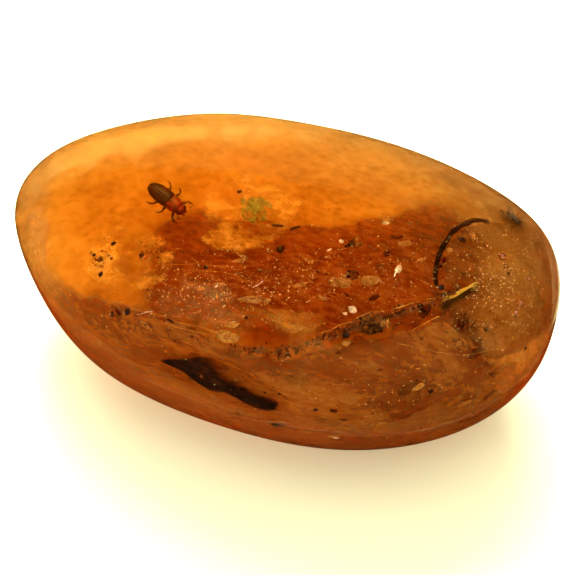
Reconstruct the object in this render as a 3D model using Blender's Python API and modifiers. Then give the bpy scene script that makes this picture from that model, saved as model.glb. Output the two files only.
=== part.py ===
"""A hand-rounded pebble of copal with insects and plant scraps sealed in it.

The script works in metres with +Z up. The sizes below are in millimetres, and MM turns them into
metres. The pebble rests on its small flat spot at z = 0, its long axis along X and its blunter
end at +X. Places inside it are given from the girdle centre, the middle of its widest level. The
resin is parted by a tilted plane that runs through the pockets of what it holds.
"""

import math

import bmesh
import bpy
from mathutils import Euler, Matrix, Vector, noise

MM = 0.001
WELD = 0.001

# The pebble: a rounded form that is wider at +X, taller at -X and deeper below its girdle
HALF_LENGTH = 22.0
HALF_WIDTH = 13.89
CROWN_HEIGHT = 7.92
BELLY_DEPTH = 12.01
PLAN_ROUNDNESS = 2.09
PROFILE_ROUNDNESS = 2.26
WIDTH_TAPER = 0.12
HEIGHT_TAPER = -0.08
SPINE_BEND = 0.25
PEBBLE_SIDES = 48
PEBBLE_RINGS = 30

# Where hand grinding left the pebble fuller or flatter: a point of the surface, rise and spread
GRINDING = (
    ((18.9, 7.6, 2.2), 0.43, 4.6),
    ((14.6, 10.2, 3.2), 0.07, 4.0),
    ((21.6, 1.5, 0.5), -0.18, 4.5),
    ((-16.8, 5.8, 4.7), -0.16, 5.0),
    ((-8.2, 10.6, 4.6), 0.14, 4.5),
    ((-21.0, -1.6, 3.0), 0.21, 4.0),
    ((-18.6, -6.3, -3.2), -0.27, 4.4),
    ((-10.6, -10.2, -6.4), 0.17, 4.5),
    ((1.0, -12.0, -7.2), -0.11, 6.0),
)

# The flat spot that it rests on, and the plane that parts it
FLAT_DEPTH = 0.5
PARTING_HEIGHT = 1.9
PARTING_TILT = math.radians(14.0)
PARTING_GAP = 0.3
GRINDING_BLOCK = 60.0

# The room around a sealed piece: a clear gap, and for a rounded pocket its ease and bluntness
POCKET_GAP = 0.3
POCKET_EASE = 1.25
POCKET_BLUNTNESS = 2.8

# The sealed insects: place on the parting plane, lift from it, and turns in degrees
BEETLE = dict(at=(-8.5, -0.75), lift=0.1, heading=-24.0, pitch=6.0, roll=24.0)
ANT = dict(at=(15.75, -4.15), lift=0.1, heading=149.0, roll=-16.0)
FLY = dict(at=(16.3, 6.7), lift=-0.7, heading=-38.0, pitch=-8.0, roll=14.0)
GNAT = dict(at=(5.85, -0.66), heading=217.0, pitch=4.0, roll=-10.0)
THRIPS = (
    dict(at=(0.20, -0.77), heading=11.0, roll=10.0),
    dict(at=(1.50, -0.58), heading=47.0, pitch=5.0, roll=-12.0),
)
MITE = dict(at=(1.13, -2.40), heading=80.0)
WEEVIL = dict(at=(4.75, -12.7), lift=-2.1, heading=4.0, pitch=-6.0, roll=15.0)
WEEVIL_SHAFT_HEIGHT = 1.8
WEEVIL_SHAFT_WIDTH = 0.8

# The sealed plant scraps
SLIVER_PLACE = (0.0, -12.5, 0.0)
SLIVER_TURN = math.radians(-4.0)
SLIVER_THICKNESS = 0.55
SLIVER_WEAR = 0.10
SLIVER_OUTLINE = (
    (-4.3, -0.45), (-2.8, -0.62), (-1.4, -1.22), (-0.3, -1.65), (1.0, -1.35), (2.4, -1.8),
    (3.7, -1.95), (4.75, -1.55), (4.7, -0.3), (3.2, 0.85), (0.5, 1.3), (-0.7, 1.15), (-2.1, 0.5),
)

SPLINTER = dict(at=(14.5, -2.0), heading=58.0)
SPLINTER_THICKNESS = 0.5
SPLINTER_WEAR = 0.09
SPLINTER_OUTLINE = (
    (-1.75, 0.05), (-1.2, -0.28), (-0.4, -0.36), (0.5, -0.30), (1.1, -0.42), (1.45, -0.16),
    (1.75, 0.12), (1.25, 0.22), (1.0, 0.46), (0.2, 0.34), (-0.7, 0.38), (-1.3, 0.24),
)

ROOTLET_THICKNESS = 0.42
ROOTLET_TIP = 0.75
ROOTLET_ROUTE = (
    (14.80, 5.00), (13.80, 4.72), (13.05, 3.98), (12.53, 3.05), (12.22, 2.02),
    (12.08, 0.95), (12.08, -0.02), (12.26, -0.96), (12.62, -1.85),
)

CRUMB = dict(at=(9.37, -5.83), heading=28.0)
CRUMB_SIZE = (1.7, 0.85, 0.75)
CRUMB_KNOBS = 0.16
CRUMB_KNOB_SIZE = 0.4

LEAF = dict(at=(-1.95, 0.10), heading=-28.0)
LEAF_SIZE = (2.7, 2.2)
LEAF_THICKNESS = 0.12
LEAF_NARROWING = 0.62
LEAF_RAGGEDNESS = 0.12
LEAF_CURL = 0.14
LEAF_CRINKLE = 0.10

WING_OUTLINE = (
    (0.05, -0.05), (-0.35, -0.20), (-0.85, -0.27), (-1.18, -0.16), (-1.28, 0.02),
    (-1.10, 0.16), (-0.60, 0.17), (-0.10, 0.08),
)
WING_ROLL = 14.0
WING_DROOP = 7.0
MITE_LEG_BEARINGS = (32, 62, 108, 140)


def clear_scene():
    """Empties the scene that the script was started in."""
    for thing in list(bpy.data.objects):
        bpy.data.objects.remove(thing)


def new_collection(name):
    """A collection of that name, linked to the scene."""
    group = bpy.data.collections.new(name)
    bpy.context.scene.collection.children.link(group)
    return group


def make_material(name, colour, roughness, transmission=0.0, ior=1.5):
    """A Principled material with a plain colour and finish."""
    material = bpy.data.materials.new(name)
    material.use_nodes = True
    shader = material.node_tree.nodes["Principled BSDF"]
    shader.inputs["Base Color"].default_value = (*colour, 1.0)
    shader.inputs["Roughness"].default_value = roughness
    shader.inputs["Metallic"].default_value = 0.0
    shader.inputs["Transmission Weight"].default_value = transmission
    shader.inputs["IOR"].default_value = ior
    return material


def new_object(name, mesh):
    """An object of the mesh, in the workshop collection until it is finished."""
    thing = bpy.data.objects.new(name, mesh)
    workshop.objects.link(thing)
    return thing


def from_bmesh(name, bm):
    """An object of the bmesh, which is freed."""
    mesh = bpy.data.meshes.new(name)
    bmesh.ops.recalc_face_normals(bm, faces=bm.faces)
    bm.to_mesh(mesh)
    bm.free()
    return new_object(name, mesh)


def pod(length, width, height, centre=(0, 0, 0), tilt=0.0, blunt=2.0, sides=12, rings=8):
    """A closed rounded body along X; blunt above 2 squares its ends, tilt noses it down."""
    bm = bmesh.new()
    bmesh.ops.create_uvsphere(bm, u_segments=sides, v_segments=rings, radius=1.0)
    for v in bm.verts:
        along, side, up = v.co.z, v.co.x, v.co.y
        reach = (abs(along) ** blunt + math.hypot(side, up) ** blunt) ** (-1 / blunt)
        v.co = Vector((along * length, side * width, up * height)) * (reach * MM / 2)
    bmesh.ops.rotate(bm, verts=bm.verts, matrix=Matrix.Rotation(math.radians(tilt), 3, "Y"))
    bmesh.ops.translate(bm, verts=bm.verts, vec=Vector(centre) * MM)
    return from_bmesh("pod", bm)


def mesh_now(thing):
    """The object's mesh as its curve and modifiers make it."""
    bpy.context.view_layer.update()
    evaluated = thing.evaluated_get(bpy.context.evaluated_depsgraph_get())
    return bpy.data.meshes.new_from_object(evaluated)


def curve_to_mesh(thing):
    """The mesh object of a curve object, with its caps welded on; the curve is removed."""
    bm = bmesh.new()
    bm.from_mesh(mesh_now(thing))
    bmesh.ops.remove_doubles(bm, verts=bm.verts, dist=WELD * MM)
    made = from_bmesh(thing.name, bm)
    made.matrix_world = thing.matrix_world
    bpy.data.objects.remove(thing)
    return made


def limb(points, thickness, tip=1.0, sides=4):
    """A thin strand through the points, tapering to tip of its thickness."""
    curve = bpy.data.curves.new("limb", "CURVE")
    curve.dimensions = "3D"
    curve.bevel_depth = thickness * MM / 2
    curve.bevel_resolution = sides // 2 - 2
    curve.use_fill_caps = True
    spline = curve.splines.new("POLY")
    spline.points.add(len(points) - 1)
    for i, (p, place) in enumerate(zip(spline.points, points)):
        p.co = (*(Vector(place) * MM), 1.0)
        p.radius = 1.0 + (tip - 1.0) * i / (len(points) - 1)
    return curve_to_mesh(new_object("limb", curve))


def plate(outline, thickness):
    """A flat plate in the XY plane with that outline."""
    curve = bpy.data.curves.new("plate", "CURVE")
    curve.dimensions = "2D"
    curve.fill_mode = "BOTH"
    curve.extrude = thickness * MM / 2
    spline = curve.splines.new("POLY")
    spline.points.add(len(outline) - 1)
    for p, (x, y) in zip(spline.points, outline):
        p.co = (x * MM, y * MM, 0.0, 1.0)
    spline.use_cyclic_u = True
    return curve_to_mesh(new_object("plate", curve))


def grown(outline, gap):
    """The outline, given anticlockwise, with each corner moved out by the gap."""
    moved = []
    for i, corner in enumerate(outline):
        here = Vector(corner)
        before = (here - Vector(outline[i - 1])).normalized()
        after = (Vector(outline[(i + 1) % len(outline)]) - here).normalized()
        out = Vector((before.y + after.y, -before.x - after.x)).normalized()
        moved.append(tuple(here + out * gap))
    return moved


def turned(thing, place=(0, 0, 0), turn=(0, 0, 0)):
    """The object with its mesh turned by degrees about X, Y and Z and then moved."""
    spin = Euler([math.radians(a) for a in turn]).to_matrix().to_4x4()
    thing.data.transform(Matrix.Translation(Vector(place) * MM) @ spin)
    return thing


def baked(thing):
    """The object with its modifiers made part of its mesh."""
    mesh = mesh_now(thing)
    thing.modifiers.clear()
    thing.data = mesh
    return thing


def fuse(pieces):
    """The pieces joined in one closed body, the first one's object."""
    body = pieces[0]
    for piece in pieces[1:]:
        join = body.modifiers.new("join", "BOOLEAN")
        join.operation = "UNION"
        join.object = piece
        baked(body)
        bpy.data.objects.remove(piece)
    return body


def worn(thing, width):
    """The object with its edges rounded off."""
    edge = thing.modifiers.new("worn edge", "BEVEL")
    edge.width = width * MM
    edge.segments = 1
    edge.limit_method = "ANGLE"
    return baked(thing)


def both_sides(points):
    """The points as given, and mirrored to the other side of the body."""
    return [[(x, side * y, z) for x, y, z in points] for side in (1, -1)]


def limbs(routes, thickness, tip=0.7):
    """Pairs of legs or feelers, one pair for each route of the left side."""
    return [limb(points, thickness, tip) for route in routes for points in both_sides(route)]


def wings(root, scale, spread, thickness=0.05):
    """A pair of wings that lie back over the body, opened by the spread in degrees."""
    pair = []
    for side in (1, -1):
        outline = [(x * scale, side * y * scale) for x, y in WING_OUTLINE]
        place = (root[0], side * root[1], root[2])
        turn = (side * -WING_ROLL, WING_DROOP, side * -spread)
        pair.append(turned(plate(outline, thickness), place, turn))
    return pair


def beetle():
    """A slim wood-boring beetle: long wing cases, a long collar, a short head and bent legs."""
    cases = pod(2.45, 1.25, 1.15, (-0.75, 0, 0), tilt=2, blunt=2.7, sides=12, rings=9)
    collar = pod(1.25, 1.12, 1.05, (0.85, 0, 0), blunt=2.5, sides=10, rings=7)
    head = pod(0.72, 0.82, 0.74, (1.52, 0, -0.10), sides=8, rings=6)
    jaw = pod(0.34, 0.30, 0.20, (1.86, 0, -0.26), sides=6, rings=4)
    legs = (
        ((1.05, 0.3, -0.35), (1.30, 0.78, -0.50), (1.62, 0.82, -0.86), (1.86, 0.80, -0.90)),
        ((0.25, 0.3, -0.35), (0.30, 0.88, -0.55), (0.02, 1.08, -0.88), (-0.22, 1.12, -0.92)),
        ((-0.35, 0.3, -0.35), (-0.70, 0.88, -0.50), (-1.12, 1.00, -0.88), (-1.40, 1.02, -0.90)),
    )
    feelers = (((1.60, 0.25, 0.02), (1.86, 0.50, 0.10), (2.02, 0.60, 0.02)),)
    return fuse([cases, collar, head, jaw, *limbs(legs, 0.15), *limbs(feelers, 0.10, 1.5)])


def ant():
    """An ant: big head, slim trunk, a waist knot, an egg-shaped rear and long bent legs."""
    rear = pod(1.02, 0.74, 0.68, (-0.95, 0, -0.05), tilt=8, sides=10, rings=7)
    knot = pod(0.26, 0.20, 0.34, (-0.38, 0, 0.03), sides=6, rings=5)
    trunk = pod(0.92, 0.42, 0.46, (0.10, 0, 0.04), blunt=2.3, sides=8, rings=7)
    head = pod(0.72, 0.66, 0.52, (0.78, 0, 0.02), tilt=12, blunt=2.4, sides=10, rings=7)
    jaw = pod(0.26, 0.34, 0.12, (1.13, 0, -0.08), sides=6, rings=4)
    legs = (
        ((0.34, 0.1, -0.08), (0.62, 0.74, 0.22), (0.78, 1.10, -0.42), (0.96, 1.26, -0.56)),
        ((0.10, 0.1, -0.08), (0.08, 0.84, 0.24), (-0.08, 1.28, -0.42), (-0.20, 1.46, -0.56)),
        ((-0.14, 0.1, -0.08), (-0.46, 0.80, 0.24), (-0.92, 1.22, -0.42), (-1.20, 1.34, -0.56)),
    )
    feelers = (((0.98, 0.12, 0.12), (1.20, 0.46, 0.30), (1.58, 0.62, 0.06)),)
    return fuse([trunk, knot, rear, head, jaw, *limbs(legs, 0.10), *limbs(feelers, 0.09, 1.0)])


def fly():
    """A small stout fly with its wings half open over its back."""
    trunk = pod(0.72, 0.60, 0.62, (0.12, 0, 0.02), sides=10, rings=7)
    rear = pod(0.92, 0.54, 0.50, (-0.50, 0, -0.08), tilt=6, sides=10, rings=7)
    head = pod(0.40, 0.58, 0.46, (0.56, 0, -0.02), blunt=2.3, sides=10, rings=6)
    legs = (
        ((0.30, 0.12, -0.15), (0.48, 0.50, -0.22), (0.62, 0.62, -0.52), (0.78, 0.60, -0.56)),
        ((0.10, 0.12, -0.15), (0.06, 0.60, -0.18), (-0.06, 0.80, -0.54), (-0.18, 0.84, -0.58)),
        ((-0.08, 0.12, -0.15), (-0.34, 0.56, -0.20), (-0.60, 0.72, -0.54), (-0.80, 0.74, -0.58)),
    )
    return fuse([trunk, rear, head, *wings((0.05, 0.16, 0.26), 0.92, 20), *limbs(legs, 0.08)])


def gnat():
    """A gnat: hunched trunk, small head, thin rear and two narrow wings laid back."""
    trunk = pod(0.44, 0.34, 0.40, (0.16, 0, 0.04), sides=8, rings=6)
    rear = pod(0.62, 0.20, 0.22, (-0.24, 0, -0.04), tilt=8, sides=6, rings=5)
    head = pod(0.22, 0.26, 0.24, (0.42, 0, -0.06), sides=8, rings=5)
    legs = (
        ((0.24, 0.06, -0.08), (0.36, 0.36, -0.04), (0.48, 0.48, -0.30), (0.60, 0.50, -0.34)),
        ((0.12, 0.06, -0.08), (0.06, 0.40, -0.02), (-0.06, 0.56, -0.32), (-0.16, 0.60, -0.36)),
        ((0.02, 0.06, -0.08), (-0.22, 0.36, -0.02), (-0.46, 0.50, -0.32), (-0.62, 0.52, -0.36)),
    )
    return fuse([trunk, rear, head, *wings((0.14, 0.08, 0.20), 0.72, 16, 0.04), *limbs(legs, 0.05)])


def thrips():
    """A thrips: a cigar-shaped body with a pointed rear, a short head and stub legs."""
    rear = pod(0.66, 0.20, 0.17, (-0.16, 0, 0), blunt=1.8, sides=6, rings=6)
    trunk = pod(0.30, 0.20, 0.18, (0.20, 0, 0), blunt=2.6, sides=6, rings=5)
    head = pod(0.18, 0.15, 0.13, (0.38, 0, 0), blunt=2.4, sides=6, rings=5)
    legs = (
        ((0.26, 0.05, -0.03), (0.34, 0.17, -0.03), (0.38, 0.21, -0.12)),
        ((0.10, 0.05, -0.03), (0.04, 0.19, -0.03), (-0.02, 0.23, -0.12)),
    )
    return fuse([rear, trunk, head, *limbs(legs, 0.045)])


def mite():
    """A round mite on eight short legs."""
    body = pod(0.60, 0.54, 0.42, (-0.04, 0, 0.02), sides=10, rings=7)
    snout = pod(0.20, 0.16, 0.13, (0.29, 0, -0.03), sides=6, rings=4)
    legs = []
    for bearing in MITE_LEG_BEARINGS:
        ray = Matrix.Rotation(math.radians(bearing), 3, "Z") @ Vector((1, 0, 0))
        hip = ray * 0.16 + Vector((0, 0, -0.05))
        foot = ray * 0.52 + Vector((0, 0, -0.17))
        legs.append([hip, ray * 0.40, foot])
    return fuse([body, snout, *limbs(legs, 0.055)])


def weevil():
    """A tiny weevil: a domed body, a drooping snout and six tucked legs."""
    body = pod(0.66, 0.40, 0.40, (-0.10, 0, 0), blunt=2.3, sides=8, rings=7)
    collar = pod(0.30, 0.28, 0.28, (0.27, 0, -0.02), sides=6, rings=5)
    snout = limb(((0.34, 0, -0.02), (0.50, 0, -0.07), (0.62, 0, -0.16)), 0.08)
    legs = (
        ((0.22, 0.06, -0.10), (0.34, 0.22, -0.14), (0.40, 0.24, -0.26)),
        ((0.00, 0.06, -0.10), (0.00, 0.28, -0.14), (-0.06, 0.32, -0.26)),
        ((-0.16, 0.06, -0.10), (-0.26, 0.26, -0.14), (-0.36, 0.30, -0.26)),
    )
    return fuse([body, collar, snout, *limbs(legs, 0.06)])


def plane_height(y):
    """The parting plane's height above the girdle centre there."""
    return PARTING_HEIGHT + math.tan(PARTING_TILT) * y


def placed(at, lift=0.0, heading=0.0, pitch=0.0, roll=0.0):
    """The place of a sealed piece: on the parting plane at x, y, lifted from it, and its turn."""
    x, y = at
    place = Matrix.Translation(Vector((x, y, plane_height(y) + lift)) * MM)
    turn = Euler([math.radians(a) for a in (roll, pitch, heading)]).to_matrix().to_4x4()
    return place @ turn


def cutter(thing, name, place=Matrix.Identity(4)):
    """The object as a cutter: kept with the cutters, drawn as wire and hidden from view."""
    workshop.objects.unlink(thing)
    cutters.objects.link(thing)
    thing.name = name
    thing.parent = girdle
    thing.matrix_local = place
    thing.display_type = "WIRE"
    thing.hide_render = True
    return thing


def finish(thing, name, material, place=Matrix.Identity(4)):
    """The object as a named piece of the part, in its place from the girdle centre."""
    workshop.objects.unlink(thing)
    part.objects.link(thing)
    thing.name = name
    thing.data.name = name
    thing.data.materials.clear()
    thing.data.materials.append(material)
    thing.data.shade_smooth()
    thing.data.set_sharp_from_angle(angle=math.radians(40))
    thing.parent = girdle
    thing.matrix_local = place
    return thing


def room_around(body):
    """A blunt rounded pocket around the body's own box."""
    corners = [v.co / MM for v in body.data.vertices]
    low = [min(c[i] for c in corners) for i in range(3)]
    high = [max(c[i] for c in corners) for i in range(3)]
    size = [(b - a) * POCKET_EASE + 2 * POCKET_GAP for a, b in zip(low, high)]
    centre = [(a + b) / 2 for a, b in zip(low, high)]
    return pod(*size, centre, blunt=POCKET_BLUNTNESS, sides=8, rings=6)


def seal(name, material, body, place, hollow=None):
    """Puts a piece and its pocket in the resin at the same place, and returns the pocket."""
    pocket = cutter(hollow or room_around(body), "pocket_" + name, place)
    finish(body, name, material, place)
    return pocket


def sealed_insects():
    """Every insect in its place; returns their pockets."""
    hollows = [
        seal("beetle", RED_SHELL, beetle(), placed(**BEETLE)),
        seal("ant", DARK_SHELL, ant(), placed(**ANT)),
        seal("fly", DARK_SHELL, fly(), placed(**FLY)),
        seal("gnat", DARK_SHELL, gnat(), placed(**GNAT)),
        seal("mite", DARK_SHELL, mite(), placed(**MITE)),
        seal("weevil", DARK_SHELL, weevil(), placed(**WEEVIL)),
    ]
    for number, spec in enumerate(THRIPS, start=1):
        hollows.append(seal(f"thrips_{number}", DARK_SHELL, thrips(), placed(**spec)))
    return hollows


def weevil_shaft():
    """The way up from the weevil's pocket, which lies under the plane, to the sliver's pocket."""
    shaft = limb(((0, 0, 0), (0, 0, WEEVIL_SHAFT_HEIGHT)), WEEVIL_SHAFT_WIDTH)
    return cutter(shaft, "weevil_shaft", placed(WEEVIL["at"], WEEVIL["lift"]))


def sealed_sliver():
    """A flat wedge of bark that stands behind the front flank, its face to the flank."""
    upright = (90, 0, 0)
    sliver = worn(plate(SLIVER_OUTLINE, SLIVER_THICKNESS), SLIVER_WEAR)
    hollow = plate(grown(SLIVER_OUTLINE, POCKET_GAP), SLIVER_THICKNESS + 2 * POCKET_GAP)
    turn = Matrix.Rotation(SLIVER_TURN, 4, "Z")
    place = Matrix.Translation(Vector(SLIVER_PLACE) * MM) @ turn
    return seal("bark_sliver", BARK, turned(sliver, turn=upright), place, turned(hollow, turn=upright))


def sealed_splinter():
    """A short torn splinter of wood lying on its side."""
    splinter = worn(plate(SPLINTER_OUTLINE, SPLINTER_THICKNESS), SPLINTER_WEAR)
    hollow = plate(grown(SPLINTER_OUTLINE, POCKET_GAP), SPLINTER_THICKNESS + 2 * POCKET_GAP)
    return seal("wood_splinter", WOOD, splinter, placed(**SPLINTER), hollow)


def sealed_rootlet():
    """The curved rootlet, which lies along the parting plane; its pocket runs on past its ends."""
    route = [Vector((x, y, plane_height(y))) for x, y in ROOTLET_ROUTE]
    rootlet = limb(route, ROOTLET_THICKNESS, ROOTLET_TIP, sides=8)
    first = route[0] + (route[0] - route[1]) / 2
    last = route[-1] + (route[-1] - route[-2]) / 2
    hollow = limb([first, *route[1:-1], last], ROOTLET_THICKNESS + 2.4 * POCKET_GAP, sides=8)
    return seal("curled_rootlet", BARK, rootlet, Matrix.Identity(4), hollow)


def sealed_crumb():
    """A knobbly crumb of bark."""
    crumb = pod(*CRUMB_SIZE, sides=11, rings=8)
    for v in crumb.data.vertices:
        v.co *= 1.0 + CRUMB_KNOBS * noise.noise(v.co / (CRUMB_KNOB_SIZE * MM))
    return seal("bark_crumb", BARK, crumb, placed(**CRUMB))


def sealed_leaf():
    """A crinkled scrap of leaf with a ragged edge, narrower towards its ends."""
    length, width = LEAF_SIZE
    bm = bmesh.new()
    bmesh.ops.create_grid(bm, x_segments=8, y_segments=6, size=1.0)
    for v in bm.verts:
        x, y = v.co.x, v.co.y
        ragged = 1 + LEAF_RAGGEDNESS * noise.noise(Vector((x * 2.1, y * 2.1, 4.0)))
        crinkle = LEAF_CRINKLE * noise.noise(Vector((x * 1.6, y * 1.6, 9.0)))
        narrow = math.sqrt(1 - LEAF_NARROWING * x * x)
        across = Vector((x * length / 2, y * narrow * width / 2, 0.0)) * ragged
        v.co = (across + Vector((0, 0, LEAF_CURL * x * y + crinkle))) * MM
    leaf = from_bmesh("leaf", bm)
    skin = leaf.modifiers.new("leaf thickness", "SOLIDIFY")
    skin.thickness = LEAF_THICKNESS * MM
    skin.offset = 0.0
    return seal("leaf_scrap", LEAF_GREEN, baked(leaf), placed(**LEAF))


def pebble_surface(direction):
    """The point of the pebble's surface that a direction of the unit sphere is moved to."""
    x, y, z = direction
    plan = (abs(x) ** PLAN_ROUNDNESS + abs(y) ** PLAN_ROUNDNESS) ** (1 / PLAN_ROUNDNESS)
    reach = (plan ** PROFILE_ROUNDNESS + abs(z) ** PROFILE_ROUNDNESS) ** (-1 / PROFILE_ROUNDNESS)
    x, y, z = x * reach, y * reach, z * reach
    height = CROWN_HEIGHT if z > 0 else BELLY_DEPTH
    point = Vector((
        HALF_LENGTH * x,
        HALF_WIDTH * y * (1 + WIDTH_TAPER * x) + SPINE_BEND * (x * x - 0.5),
        height * z * (1 + HEIGHT_TAPER * x),
    ))
    outward = Vector((x / HALF_LENGTH, y / HALF_WIDTH, z / height)).normalized()
    rise = 0.0
    for centre, lift, spread in GRINDING:
        away = (point - Vector(centre)).length / spread
        rise += lift * math.exp(-away * away)
    return (point + outward * rise) * MM


def pebble():
    """The whole pebble, its girdle centre at the origin."""
    bm = bmesh.new()
    bmesh.ops.create_uvsphere(bm, u_segments=PEBBLE_SIDES, v_segments=PEBBLE_RINGS, radius=1.0)
    for v in bm.verts:
        v.co = pebble_surface(v.co)
    return from_bmesh("pebble", bm)


def block(name, base, place=Matrix.Identity(4)):
    """A large cutting block whose middle is at the base height before it is placed."""
    bm = bmesh.new()
    bmesh.ops.create_cube(bm, size=GRINDING_BLOCK * MM)
    bmesh.ops.translate(bm, verts=bm.verts, vec=(0, 0, base))
    return cutter(from_bmesh(name, bm), name, place)


def parting_block(name, side):
    """A block that takes away everything on one side of the parting plane, and half the gap."""
    tilt = Matrix.Rotation(PARTING_TILT, 4, "X")
    place = Matrix.Translation((0, 0, PARTING_HEIGHT * MM)) @ tilt
    return block(name, side * (GRINDING_BLOCK - PARTING_GAP) * MM / 2, place)


def cut(thing, tool):
    """Takes the tool's shape out of the object."""
    step = thing.modifiers.new("cut " + tool.name, "BOOLEAN")
    step.operation = "DIFFERENCE"
    step.object = tool


def resin(pockets):
    """The two halves of the resin around the pockets, and the girdle centre set over the floor."""
    whole = pebble()
    corners = [v.co for v in whole.data.vertices]
    low, high = [Vector([pick(c[i] for c in corners) for i in range(3)]) for pick in (min, max)]
    rest = low.z + FLAT_DEPTH * MM
    upper = finish(new_object("upper", whole.data.copy()), "copal_upper", RESIN)
    lower = finish(new_object("lower", whole.data.copy()), "copal_lower", RESIN)
    bpy.data.objects.remove(whole)
    cut(upper, parting_block("lower_side", -1))
    cut(lower, parting_block("upper_side", 1))
    cut(lower, block("flat_spot_block", rest - GRINDING_BLOCK * MM / 2))
    for half in (upper, lower):
        for pocket in pockets:
            cut(half, pocket)
    girdle.location = (-(low.x + high.x) / 2, -(low.y + high.y) / 2, -rest)


clear_scene()
part = new_collection("copal_with_insects")
cutters = new_collection("cutters")
workshop = new_collection("workshop")
girdle = bpy.data.objects.new("girdle_centre", None)
part.objects.link(girdle)

RESIN = make_material("copal_resin", (0.80, 0.30, 0.04), 0.05, transmission=1.0, ior=1.54)
DARK_SHELL = make_material("insect_shell", (0.035, 0.018, 0.010), 0.30)
RED_SHELL = make_material("beetle_shell", (0.075, 0.022, 0.010), 0.28)
BARK = make_material("bark", (0.030, 0.014, 0.010), 0.70)
WOOD = make_material("wood", (0.085, 0.040, 0.015), 0.65)
LEAF_GREEN = make_material("leaf", (0.180, 0.160, 0.035), 0.60)

scrap_pockets = [sealed_sliver(), sealed_splinter(), sealed_rootlet(), sealed_crumb(), sealed_leaf()]
resin([*sealed_insects(), weevil_shaft(), *scrap_pockets])
bpy.data.collections.remove(workshop)
bpy.context.view_layer.update()
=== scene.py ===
"""The looks of a hand-polished copal pebble with insects and plant scraps sealed in it.

Metres, +Z up, in the frame's own place. Sizes in the settings are in millimetres where they say so,
and MM turns them into metres. Places inside the stone are given from its girdle centre.
"""
import math
import random

import bmesh
import bpy
from bpy.props import FloatProperty, FloatVectorProperty, PointerProperty
from mathutils import Euler, Matrix, Vector, noise
from mathutils.bvhtree import BVHTree


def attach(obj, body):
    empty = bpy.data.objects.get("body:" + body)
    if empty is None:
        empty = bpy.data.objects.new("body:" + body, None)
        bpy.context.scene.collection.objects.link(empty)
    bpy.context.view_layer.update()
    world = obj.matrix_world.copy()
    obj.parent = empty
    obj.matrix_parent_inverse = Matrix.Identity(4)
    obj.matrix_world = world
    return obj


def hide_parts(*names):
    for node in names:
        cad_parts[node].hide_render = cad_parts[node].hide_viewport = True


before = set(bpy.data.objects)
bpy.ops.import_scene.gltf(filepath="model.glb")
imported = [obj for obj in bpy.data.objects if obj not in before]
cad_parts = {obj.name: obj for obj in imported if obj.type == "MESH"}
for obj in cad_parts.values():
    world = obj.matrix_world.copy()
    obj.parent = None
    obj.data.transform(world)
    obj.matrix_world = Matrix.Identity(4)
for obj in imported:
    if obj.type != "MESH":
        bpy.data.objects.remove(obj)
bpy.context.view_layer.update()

bl_info = {
    "name": "Copal with insects",
    "version": (1, 0, 0),
    "blender": (4, 5, 0),
    "location": "3D View > Sidebar > Copal",
    "description": "Builds the looks of a polished copal pebble with sealed insects",
    "category": "Object",
}

MM = 0.001
# The photograph's width and height in pixels, and where it shows the girdle centre
PICTURE = 575
GIRDLE_PIXEL = (278.85, 260.36)
# The camera's sensor in millimetres
SENSOR = 36.0

# The pebble's form, as its solids have it
HALF_LENGTH = 22.0
HALF_WIDTH = 13.89
CROWN_HEIGHT = 7.92
BELLY_DEPTH = 12.01
PLAN_ROUNDNESS = 2.09
PROFILE_ROUNDNESS = 2.26
WIDTH_TAPER = 0.12
HEIGHT_TAPER = -0.08
SPINE_BEND = 0.25
FLAT_DEPTH = 0.5
# The clear piece lies this far inside the solids' skin
SKIN = 0.03
# Where the grinding by hand left more or took more: middle, rise and spread
GRINDING = (
    ((18.9, 7.6, 2.2), 0.43, 4.6),
    ((14.6, 10.2, 3.2), 0.07, 4.0),
    ((21.6, 1.5, 0.5), -0.18, 4.5),
    ((-16.8, 5.8, 4.7), -0.16, 5.0),
    ((-8.2, 10.6, 4.6), 0.14, 4.5),
    ((-21.0, -1.6, 3.0), 0.21, 4.0),
    ((-18.6, -6.3, -3.2), -0.27, 4.4),
    ((-10.6, -10.2, -6.4), 0.17, 4.5),
    ((1.0, -12.0, -7.2), -0.11, 6.0),
)
# The plane that parts the two solids, through the middle of what is sealed
PARTING_HEIGHT = 1.9
PARTING_TILT = math.radians(14.0)
# Subdivisions of the clear piece, and of the skin that lines of sight are tested against
PEBBLE_FINENESS = 7
SIGHT_FINENESS = 6


class StageSettings(bpy.types.PropertyGroup):
    """The floor, the light and the camera."""

    floor_colour: FloatVectorProperty(
        name="Floor", description="Colour of the floor", subtype="COLOR", default=(0.68, 0.66, 0.4)
    )
    sky: FloatProperty(name="Surround", description="Strength of the white surround", default=1.35)
    azimuth: FloatProperty(
        name="Azimuth", description="Camera's turn round the stone", subtype="ANGLE",
        default=math.radians(20.6),
    )
    elevation: FloatProperty(
        name="Elevation", description="Camera's height over the table", subtype="ANGLE",
        default=math.radians(42.0),
    )
    distance: FloatProperty(
        name="Distance", description="Camera to girdle centre", unit="LENGTH", default=124.7 * MM
    )
    lens: FloatProperty(name="Lens", description="Focal length in millimetres", default=100.0)


class ResinSettings(bpy.types.PropertyGroup):
    """The copal itself."""

    colour: FloatVectorProperty(
        name="Absorption colour", description="What the resin lets through", subtype="COLOR",
        default=(0.942, 0.724, 0.15),
    )
    density: FloatProperty(
        name="Absorption density", description="Per metre of resin", default=320.0, min=0.0
    )
    ior: FloatProperty(name="IOR", description="Refraction of copal", default=1.54, min=1.0, max=2.0)


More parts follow.
